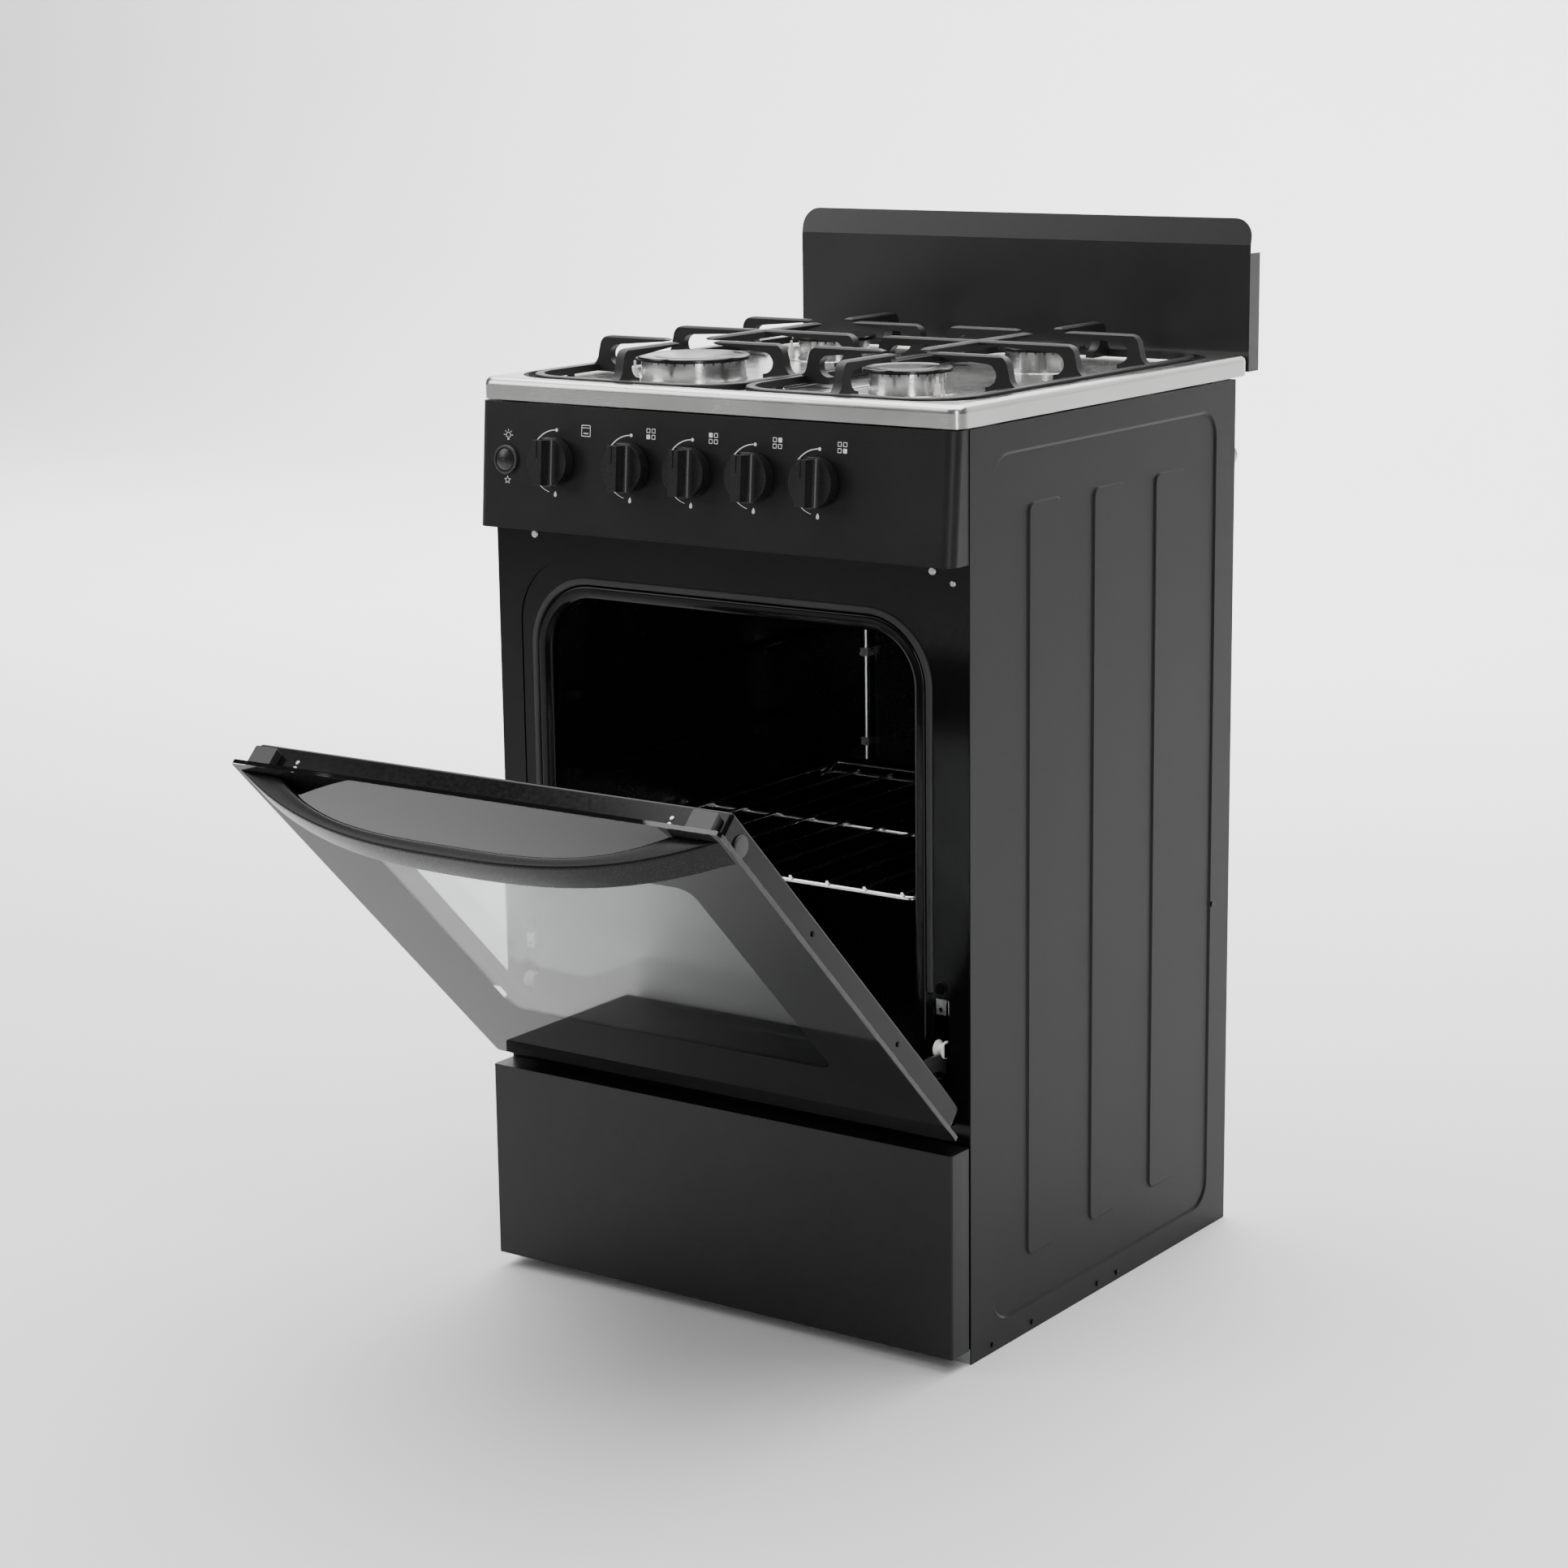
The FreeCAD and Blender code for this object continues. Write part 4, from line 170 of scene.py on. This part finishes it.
KNOB = material(
    "knob_plastic", (0.005, 0.005, 0.005), (0.008, 0.008, 0.008), (0.24, 0.36),
    grain=1300, bump=0.08, height=0.0001,
)
HANDLE = material(
    "handle_coat", (0.004, 0.004, 0.0045), (0.007, 0.007, 0.0075), (0.22, 0.34),
    grain=900, bump=0.06, height=0.0001, Specular_IOR_Level=0.2,
)
PLASTIC = material(
    "black_plastic", (0.012, 0.012, 0.013), (0.020, 0.020, 0.021), (0.34, 0.5),
    grain=1100, bump=0.12, height=0.0001,
)
NYLON = material(
    "white_nylon", (0.70, 0.70, 0.68), (0.82, 0.82, 0.80), (0.32, 0.46),
    grain=700, bump=0.06, height=0.0001,
)
SEAL = material(
    "door_seal", (0.012, 0.012, 0.012), (0.024, 0.024, 0.024), (0.55, 0.75),
    grain=1500, bump=0.3, height=0.0003,
)
CERAMIC = material(
    "electrode_ceramic", (0.70, 0.68, 0.62), (0.84, 0.82, 0.77), (0.35, 0.5),
    grain=900, bump=0.08, height=0.0001,
)
WOOL = material(
    "mineral_wool", (0.16, 0.14, 0.10), (0.30, 0.27, 0.20), (0.85, 0.98),
    cloud=40, grain=1100, stretch=(1, 1, 4), bump=0.8, height=0.0012,
)
SCREW = material(
    "screw_steel", *SCREW_TONES, (0.22, 0.4),
    metallic=1.0, grain=900, bump=0.05, height=0.0001,
)
ARM_STEEL = material(
    "arm_steel", (0.030, 0.030, 0.032), (0.055, 0.055, 0.057), (0.30, 0.46),
    metallic=0.6, cloud=60, grain=500, bump=0.08, height=0.0001,
)
BRACKET = material(
    "bracket_steel", *ZINC_TONES, (0.24, 0.42),
    metallic=1.0, cloud=90, grain=300, bump=0.05, height=0.0001,
)
DOOR_SCREW = material(
    "door_screw_steel", *SCREW_TONES, (0.22, 0.4),
    metallic=1.0, grain=900, bump=0.05, height=0.0001,
)
PRINT = material(
    "white_print", (0.66, 0.66, 0.66), (0.76, 0.76, 0.76), (0.4, 0.55),
    grain=1600, bump=0.05, height=0.00005,
)
GLASS_PRINT = material(
    "glass_print", (0.010, 0.010, 0.011), (0.014, 0.014, 0.015), (0.02, 0.05),
    cloud=4, grain=30, Specular_IOR_Level=0.2,
)
SPLASH = material(
    "splashback_coat", *COAT_TONES, (0.32, 0.44),
    grain=1500, bump=0.3, height=0.00025,
)
OUTER_GLASS = material(
    "door_glass", (0.70, 0.72, 0.72), (0.78, 0.79, 0.79), (0.015, 0.04),
    grain=30, Transmission_Weight=1.0, IOR=1.5,
)
CLEAR_GLASS = material(
    "inner_glass", (0.84, 0.87, 0.86), (0.90, 0.92, 0.91), (0.012, 0.03),
    grain=30, Transmission_Weight=1.0, IOR=1.5,
)
LAMP_GLASS = material(
    "lamp_glass", (0.86, 0.86, 0.82), (0.94, 0.94, 0.90), (0.05, 0.14),
    grain=200, bump=0.1, height=0.0004, Transmission_Weight=0.9, IOR=1.5,
)


# Black for the oxide on the screws and for the painted shade on the hinge brackets.
OXIDE_AND_SHADE_BLACK = (0.008, 0.008, 0.008, 1)
NO_LOW_LIMIT = -1.0
NO_HIGH_LIMIT = 1.0
FRONT_SCREW_LEVEL = 0.6
DOOR_SIDE_SCREWS_X = 0.236
# The hinge brackets get painted shade below this height, where they sit inside the body.
BRACKET_PAINTED_SHADE_TOP = 0.3072


def blacken(made, axis, low, high):
    """Black where a coordinate's size, in metres, lies between two values; bare elsewhere. Black oxide
    on the screws, painted shade on the hinge brackets inside the body.
    """
    tree = made.node_tree
    shader = tree.nodes["Principled BSDF"]
    coords = tree.nodes.new("ShaderNodeTexCoord")
    parts = tree.nodes.new("ShaderNodeSeparateXYZ")
    tree.links.new(coords.outputs["Object"], parts.inputs["Vector"])
    value = parts.outputs[axis]
    tests = []
    for operation, limit in (("GREATER_THAN", low), ("LESS_THAN", high)):
        size = tree.nodes.new("ShaderNodeMath")
        size.operation = "ABSOLUTE"
        tree.links.new(value, size.inputs[0])
        test = tree.nodes.new("ShaderNodeMath")
        test.operation = operation
        test.inputs[1].default_value = limit
        tree.links.new(size.outputs["Value"], test.inputs[0])
        tests.append(test.outputs["Value"])
    both = tree.nodes.new("ShaderNodeMath")
    both.operation = "MULTIPLY"
    tree.links.new(tests[0], both.inputs[0])
    tree.links.new(tests[1], both.inputs[1])
    blend = tree.nodes.new("ShaderNodeMixRGB")
    blend.inputs["Color2"].default_value = OXIDE_AND_SHADE_BLACK
    tree.links.new(both.outputs["Value"], blend.inputs["Fac"])
    tree.links.new(shader.inputs["Base Color"].links[0].from_socket, blend.inputs["Color1"])
    tree.links.new(blend.outputs["Color"], shader.inputs["Base Color"])


blacken(SCREW, "Z", NO_LOW_LIMIT, FRONT_SCREW_LEVEL)
blacken(DOOR_SCREW, "X", DOOR_SIDE_SCREWS_X, NO_HIGH_LIMIT)
# Painted shade: the zinc hinge brackets are black below this height, where they sit in shade behind
# the frame's slots.
blacken(BRACKET, "Z", 0.0, BRACKET_PAINTED_SHADE_TOP)

FINISH = {
    "base_frame": ZINC,
    "side_panel_left": SIDE,
    "side_panel_right": SIDE,
    "rear_panel": ZINC,
    "front_frame": ENAMEL,
    "door_seal": SEAL,
    "oven_liner": LINER,
    "oven_back_wall": LINER,
    "oven_floor_plate": LINER,
    "oven_burner": ZINC,
    "oven_insulation": WOOL,
    "thermostat_bulb": CHROME,
    "oven_lamp": LAMP_GLASS,
    "control_panel": POWDER,
    "rocker_bezel": PLASTIC,
    "rocker": KNOB,
    "gas_valves": BRASS,
    "gas_manifold": ZINC,
    "gas_inlet": ZINC,
    "gas_tubes": ALUMINIUM,
    "hob_top": STEEL,
    "burner_cups": ALUMINIUM,
    "burner_body_rapid": ALUMINIUM,
    "burner_bodies_semi": ALUMINIUM,
    "burner_cap_rapid": CAP,
    "burner_caps_semi": CAP,
    "spark_electrodes": CERAMIC,
    "spark_generator": PLASTIC,
    "hinge_brackets": BRACKET,
    "door_spring_left": ZINC,
    "door_spring_right": ZINC,
    "drawer_runners": ZINC,
    "backsplash": SPLASH,
    "backsplash_brackets": ZINC,
    "cabinet_screws": SCREW,
    "cord_gland": PLASTIC,
    "hinge_roller_left": NYLON,
    "hinge_roller_right": NYLON,
    "door_outer_glass": OUTER_GLASS,
    "door_inner_pan": ENAMEL,
    "door_inner_glass": CLEAR_GLASS,
    "door_top_blocks": PLASTIC,
    "door_handle": HANDLE,
    "door_screws": DOOR_SCREW,
    "hinge_arms": ARM_STEEL,
    "drawer_front": POWDER,
    "drawer_tray": ZINC,
    "oven_rack": CHROME,
    "grate_left": CAST,
    "grate_right": CAST,
}
TAPS = {
    "oven": -162.0,
    "rear_left": -80.0,
    "front_left": -14.5,
    "front_right": 51.0,
    "rear_right": 116.5,
}
for tap in TAPS:
    FINISH["knob_" + tap] = KNOB
    FINISH["tap_stem_" + tap] = BRASS

for node, finish in FINISH.items():
    slots = NODES[node].data.materials
    for index in range(len(slots)):
        slots[index] = finish
    if not slots:
        slots.append(finish)


# ---- pieces -------------------------------------------------------------------------
def add_piece(name, mesh, finish, body):
    """Put a finished mesh into the scene, riding on a body."""
    mesh.materials.clear()
    mesh.materials.append(finish)
    made = bpy.data.objects.new(name, mesh)
    bpy.context.scene.collection.objects.link(made)
    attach(made, body)
    return made


MERGE_DISTANCE = 2e-6
FLAT_ANGLE = math.radians(0.1)
CREASE_ANGLE = math.radians(32.0)
EDGE_SEGMENTS = 3


def softened(node, body, width):
    """Copy of a CAD node with its sharp edges rounded, which stands for that node."""
    mesh = NODES[node].data.copy()
    work = bmesh.new()
    work.from_mesh(mesh)
    bmesh.ops.remove_doubles(work, verts=work.verts, dist=MERGE_DISTANCE)
    bmesh.ops.dissolve_limit(work, angle_limit=FLAT_ANGLE, verts=work.verts, edges=work.edges)
    work.to_mesh(mesh)
    work.free()
    mesh.shade_smooth()
    mesh.set_sharp_from_angle(angle=CREASE_ANGLE)
    made = add_piece("soft_" + node, mesh, FINISH[node], body)
    bevel = made.modifiers.new("edges", "BEVEL")
    bevel.width = width
    bevel.segments = EDGE_SEGMENTS
    bevel.limit_method = "ANGLE"
    bevel.angle_limit = CREASE_ANGLE
    bevel.harden_normals = True
    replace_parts(made, node)


for side in ("left", "right"):
    softened("grate_" + side, "support_" + side, width=0.0011)
for tap in TAPS:
    softened("knob_" + tap, "cap_" + tap, width=0.0006)
softened("drawer_front", "drawer", width=0.0012)
softened("door_top_blocks", "door", width=0.0006)


# ---- prints on the control panel ----------------------------------------------------
# Millimetres: "out" is measured forwards from the side panels' front edges.
PANEL_FOOT_Z = 693.5
PANEL_TOP_Z = 804.3
PANEL_FOOT_OUT = 27.7
PANEL_TOP_OUT = 19.24
PANEL_FOOT = Vector((0, -255.4, PANEL_FOOT_Z))
LEAN = math.atan2(PANEL_FOOT_OUT - PANEL_TOP_OUT, PANEL_TOP_Z - PANEL_FOOT_Z)
PANEL_UP = Vector((0, math.sin(LEAN), math.cos(LEAN)))
PANEL_OUT = Vector((0, -math.cos(LEAN), math.sin(LEAN)))
PRINT_LIFT = 0.06
KNOB_UP = 62.0
SCALE_RADIUS = 27.6
FLAME_SIDE = 28.2
FLAME_BELOW = 28.0
BURNER_ICON_UP = 92.0
BURNER_ICONS = ((-58.8, 2), (7.4, 0), (73.7, 1), (139.2, 3))
OVEN_ICON = (-129.4, 90.7)
LAMP_ICON = (-216.0, 82.4)
SPARK_ICON = (-216.0, 42.8)


def panel_point(x, up):
    """Point on the control panel's face, in metres."""
    point = PANEL_FOOT + Vector((x, 0, 0)) + PANEL_UP * up + PANEL_OUT * PRINT_LIFT
    return point * MM


def outline_shape(work, centre, points):
    """Filled flat print from an outline round a centre."""
    corners = [work.verts.new(panel_point(centre[0] + x, centre[1] + y)) for x, y in points]
    work.faces.new(corners)


def band(work, centre, start, end, radius, width0, width1, steps=28):
    """Curved line print; angles in degrees anticlockwise from the top."""
    rows = []
    for n in range(steps + 1):
        share = n / steps
        angle = math.radians(90 + start + (end - start) * share)
        half = (width0 + (width1 - width0) * share) / 2
        row = []
        for reach in (radius - half, radius + half):
            x = centre[0] + reach * math.cos(angle)
            up = centre[1] + reach * math.sin(angle)
            row.append(work.verts.new(panel_point(x, up)))
        rows.append(row)
    for (a, b), (c, d) in zip(rows, rows[1:]):
        work.faces.new((b, a, c, d))


def dot(radius, count=20):
    """Outline of a dot."""
    turns = [2 * math.pi * n / count for n in range(count)]
    return [(radius * math.cos(turn), radius * math.sin(turn)) for turn in turns]


def flame(size, count=24):
    """Outline of a pointed drop leaning a little."""
    points = []
    for n in range(count):
        turn = 2 * math.pi * n / count
        pinch = (1 + math.sin(turn)) / 2
        x = size * 0.36 * math.cos(turn) * (1 - pinch ** 1.6) ** 0.8
        y = size * 0.5 * math.sin(turn)
        points.append((x + size * 0.05 * pinch * pinch, y))
    return points


def rounded_square(half, radius, offset=(0, 0)):
    """Outline of a square with round corners."""
    points = []
    for corner in range(4):
        for n in range(5):
            turn = math.radians(90 * corner + 22.5 * n)
            sx = half - radius if corner in (0, 3) else radius - half
            sy = half - radius if corner in (0, 1) else radius - half
            x = offset[0] + sx + radius * math.cos(turn)
            y = offset[1] + sy + radius * math.sin(turn)
            points.append((x, y))
    return points


def star(outer, inner):
    """Outline of a five-pointed star."""
    points = []
    for n in range(10):
        turn = math.radians(90 + 36 * n)
        reach = inner if n % 2 else outer
        points.append((reach * math.cos(turn), reach * math.sin(turn)))
    return points


def hollow_shape(work, centre, outer, inner):
    """Line print between two outlines with the same number of points."""
    ring = []
    for points in (outer, inner):
        ring.append([work.verts.new(panel_point(centre[0] + x, centre[1] + y)) for x, y in points])
    count = len(outer)
    for n in range(count):
        m = (n + 1) % count
        work.faces.new((ring[0][n], ring[0][m], ring[1][m], ring[1][n]))


def burner_icon(work, centre, filled):
    """Four small squares in a square, the one for this knob filled."""
    for index, (sx, sy) in enumerate(((-1, 1), (1, 1), (-1, -1), (1, -1))):
        offset = (sx * 2.75, sy * 2.65)
        outer = rounded_square(1.95, 0.5, offset)
        if index == filled:
            outline_shape(work, centre, outer)
        else:
            hollow_shape(work, centre, outer, rounded_square(1.4, 0.3, offset))


def line(work, start, end, width):
    """Straight line print."""
    a, b = Vector(start), Vector(end)
    side = (b - a).orthogonal().normalized() * width / 2
    corners = [a - side, b - side, b + side, a + side]
    work.faces.new([work.verts.new(panel_point(c.x, c.y)) for c in corners])


def panel_prints():
    """All white prints of the control panel as one mesh."""
    work = bmesh.new()
    for x in TAPS.values():
        centre = (x, KNOB_UP)
        outline_shape(work, (x, KNOB_UP + SCALE_RADIUS), dot(1.5))
        band(work, centre, 2, 74, SCALE_RADIUS, 0.8, 1.1)
        outline_shape(work, (x - FLAME_SIDE, KNOB_UP), flame(8.6))
        band(work, centre, 106, 166, SCALE_RADIUS, 1.1, 0.4)
        outline_shape(work, (x, KNOB_UP - FLAME_BELOW), flame(5.4))
    for x, filled in BURNER_ICONS:
        burner_icon(work, (x, BURNER_ICON_UP), filled)
    hollow_shape(work, OVEN_ICON, rounded_square(5.0, 1.0), rounded_square(4.4, 0.6))
    line(work, (-133.6, 93.2), (-125.2, 93.2), 0.5)
    line(work, (-132.0, 88.4), (-126.8, 88.4), 0.9)
    hollow_shape(work, LAMP_ICON, dot(2.6), dot(2.1))
    line(work, (-217.0, 78.6), (-215.0, 78.6), 1.0)
    for turn in range(0, 360, 45):
        if 200 < turn < 340:
            continue
        ray = Vector((math.cos(math.radians(turn)), math.sin(math.radians(turn))))
        start = Vector(LAMP_ICON) + ray * 3.6
        line(work, start, start + ray * 1.5, 0.5)
    hollow_shape(work, SPARK_ICON, star(3.9, 1.8), star(2.8, 1.2))
    bmesh.ops.recalc_face_normals(work, faces=work.faces)
    for face in work.faces:
        if face.normal.dot(PANEL_OUT) < 0:
            face.normal_flip()
    mesh = bpy.data.meshes.new("panel_prints")
    work.to_mesh(mesh)
    work.free()
    return mesh


add_piece("panel_prints", panel_prints(), PRINT, "cabinet")


# ---- black border on the face of the door's outer glass --------------------------------
PIVOT = Vector((0, -243.1, 223.6))
DOOR_FACE_Y = -259.7
DOOR_BOTTOM_Z = 215.0
OPEN = Matrix.Rotation(math.radians(45.0), 4, "X")
BORDER_LIFT = 0.06
# Half width, lower edge, upper edge and corner radius, from the door's lower edge.
GLASS_OUTLINE = (248.6, 0.8, 467.2, 3.5)
WINDOW_OUTLINE = (172.0, 97.0, 375.0, 14.0)


def door_point(x, up, out):
    """Point in the door's own axes, half open, in metres."""
    closed = Vector((x, DOOR_FACE_Y - out, DOOR_BOTTOM_Z + up))
    return (PIVOT + OPEN @ (closed - PIVOT)) * MM


def round_rect(x0, x1, y0, y1, radius, steps=8):
    """Outline of a rounded rectangle, anticlockwise."""
    points = []
    for corner, (cx, cy) in enumerate(((x1, y1), (x0, y1), (x0, y0), (x1, y0))):
        ox = -radius if cx == x1 else radius
        oy = -radius if cy == y1 else radius
        for n in range(steps + 1):
            turn = math.radians(90 * corner + 90 * n / steps)
            x = cx + ox + radius * math.cos(turn)
            y = cy + oy + radius * math.sin(turn)
            points.append((x, y))
    return points


def glass_border():
    """Opaque print round the window, a hair outside the glass."""
    work = bmesh.new()
    rings = []
    for x, low, high, radius in (GLASS_OUTLINE, WINDOW_OUTLINE):
        outline = round_rect(-x, x, low, high, radius)
        rings.append([work.verts.new(door_point(px, py, BORDER_LIFT)) for px, py in outline])
    count = len(rings[0])
    for n in range(count):
        m = (n + 1) % count
        work.faces.new((rings[0][n], rings[0][m], rings[1][m], rings[1][n]))
    mesh = bpy.data.meshes.new("glass_border")
    work.to_mesh(mesh)
    work.free()
    return mesh


add_piece("glass_border", glass_border(), GLASS_PRINT, "door")


# ---- bowed door handle ------------------------------------------------------------------
HANDLE_LOW = 428.0
HANDLE_HIGH = 458.0
HANDLE_HALF_WIDTH = 245.0
HANDLE_BOW = 50.0
HANDLE_POWER = 2.7
GRIP_HALF_WIDTH = 200.0
GRIP_BOW = 38.0
GRIP_POWER = 3.4
HANDLE_EDGE = 2.8
HANDLE_END_GAP = 0.4
EDGE_SHARE = 0.45


def bow(half_width, depth, power, x):
    """How far a bowed curve stands out of the glass at x."""
    return depth * max(0.0, 1 - abs(x / half_width) ** power)


def handle_section(inner, outer, steps=4):
    """Cross-section of the handle as (out, up) points, its four corners rounded."""
    radius = min(HANDLE_EDGE, (outer - inner) * EDGE_SHARE)
    points = []
    for corner, (out, up) in enumerate(
        ((outer, HANDLE_HIGH), (inner, HANDLE_HIGH), (inner, HANDLE_LOW), (outer, HANDLE_LOW))
    ):
        centre_out = out - radius if out == outer else out + radius
        centre_up = up - radius if up == HANDLE_HIGH else up + radius
        for n in range(steps + 1):
            turn = math.radians(90 * corner + 90 * n / steps)
            points.append((centre_out + radius * math.cos(turn), centre_up + radius * math.sin(turn)))
    return points


def handle_mesh(stations=96):
    """Handle swept from end to end, with stations closer together near the ends."""
    work = bmesh.new()
    rings = []
    reach = HANDLE_HALF_WIDTH - HANDLE_END_GAP
    for n in range(stations + 1):
        x = -reach * math.cos(math.pi * n / stations)
        outer = bow(HANDLE_HALF_WIDTH, HANDLE_BOW, HANDLE_POWER, x)
        inner = bow(GRIP_HALF_WIDTH, GRIP_BOW, GRIP_POWER, x)
        section = handle_section(inner, outer)
        rings.append([work.verts.new(door_point(x, up, out)) for out, up in section])
    count = len(rings[0])
    for first, second in zip(rings, rings[1:]):
        for n in range(count):
            m = (n + 1) % count
            work.faces.new((first[n], first[m], second[m], second[n]))
    work.faces.new(rings[0])
    work.faces.new(rings[-1][::-1])
    bmesh.ops.recalc_face_normals(work, faces=work.faces)
    mesh = bpy.data.meshes.new("door_handle_bow")
    work.to_mesh(mesh)
    work.free()
    mesh.shade_smooth()
    mesh.set_sharp_from_angle(angle=math.radians(50))
    return mesh


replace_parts(add_piece("door_handle_bow", handle_mesh(), HANDLE, "door"), "door_handle")


# ---- floor, light, camera -------------------------------------------------------------
def stage_floor():
    """Pale floor that curves up behind."""
    size, back = 9.0, 4.2
    bend, rise = 1.2, 5.0
    drop = 0.0002
    steps = 12
    rows = [(-size, 0.0)]
    for n in range(steps + 1):
        turn = math.radians(90 * n / steps)
        rows.append((back + bend * math.sin(turn), bend - bend * math.cos(turn)))
    rows.append((back + bend, rise))
    verts = []
    for y, z in rows:
        verts.append((-size, y, z - drop))
        verts.append((size, y, z - drop))
    faces = [(2 * n, 2 * n + 1, 2 * n + 3, 2 * n + 2) for n in range(len(rows) - 1)]
    mesh = bpy.data.meshes.new("floor")
    mesh.from_pydata(verts, [], faces)
    mesh.shade_smooth()
    floor = bpy.data.objects.new("floor", mesh)
    bpy.context.scene.collection.objects.link(floor)
    mesh.materials.append(
        material("floor_paint", (0.78, 0.78, 0.78), (0.80, 0.80, 0.80), (0.6, 0.7), cloud=2, grain=60)
    )


def area_light(name, place, target, size, power):
    """Soft box."""
    lamp = bpy.data.lights.new(name, "AREA")
    lamp.shape = "RECTANGLE"
    lamp.size, lamp.size_y = size
    lamp.energy = power
    made = bpy.data.objects.new(name, lamp)
    made.location = place
    made.rotation_euler = (Vector(place) - Vector(target)).to_track_quat("Z", "Y").to_euler()
    bpy.context.scene.collection.objects.link(made)


CAMERA_AZIMUTH = math.radians(35.279)
CAMERA_ELEVATION = math.radians(12.368)
CAMERA_ROLL = math.radians(-0.735)
CAMERA_DISTANCE = 3.30776
CAMERA_TARGET = Vector((-0.09987, 0.0, 0.42765))
FOCAL_LENGTH = 80.8
SENSOR_WIDTH = 36.0


def camera():
    """Camera at the angle the object was seen from."""
    flat = math.cos(CAMERA_ELEVATION)
    back = Vector(
        (math.sin(CAMERA_AZIMUTH) * flat, -math.cos(CAMERA_AZIMUTH) * flat, math.sin(CAMERA_ELEVATION))
    )
    level = Vector((0, 0, 1)).cross(back).normalized()
    upward = back.cross(level)
    right = math.cos(CAMERA_ROLL) * level + math.sin(CAMERA_ROLL) * upward
    up = math.cos(CAMERA_ROLL) * upward - math.sin(CAMERA_ROLL) * level
    lens = bpy.data.cameras.new("camera")
    lens.sensor_width = SENSOR_WIDTH
    lens.lens = FOCAL_LENGTH
    made = bpy.data.objects.new("camera", lens)
    turn = Matrix((right, up, back)).transposed().to_4x4()
    made.matrix_world = Matrix.Translation(CAMERA_TARGET + back * CAMERA_DISTANCE) @ turn
    bpy.context.scene.collection.objects.link(made)
    bpy.context.scene.camera = made


stage_floor()
area_light("top", (-0.6, 0.8, 4.8), (-0.4, 0.4, 0), (7.0, 7.0), 760)
area_light("key", (-3.0, -2.6, 2.6), (0, 0, 0.4), (1.8, 2.6), 60)
area_light("backdrop", (-2.8, 2.2, 3.6), (-3.2, 5.4, 1.2), (6.0, 2.2), 620)
area_light("strip", (2.4, -2.4, 1.5), (0, 0, 0.7), (0.3, 2.2), 36)
camera()

world = bpy.data.worlds.new("studio")
world.use_nodes = True
world.node_tree.nodes["Background"].inputs["Color"].default_value = (1.0, 1.0, 1.0, 1)
world.node_tree.nodes["Background"].inputs["Strength"].default_value = 0.16
bpy.context.scene.world = world
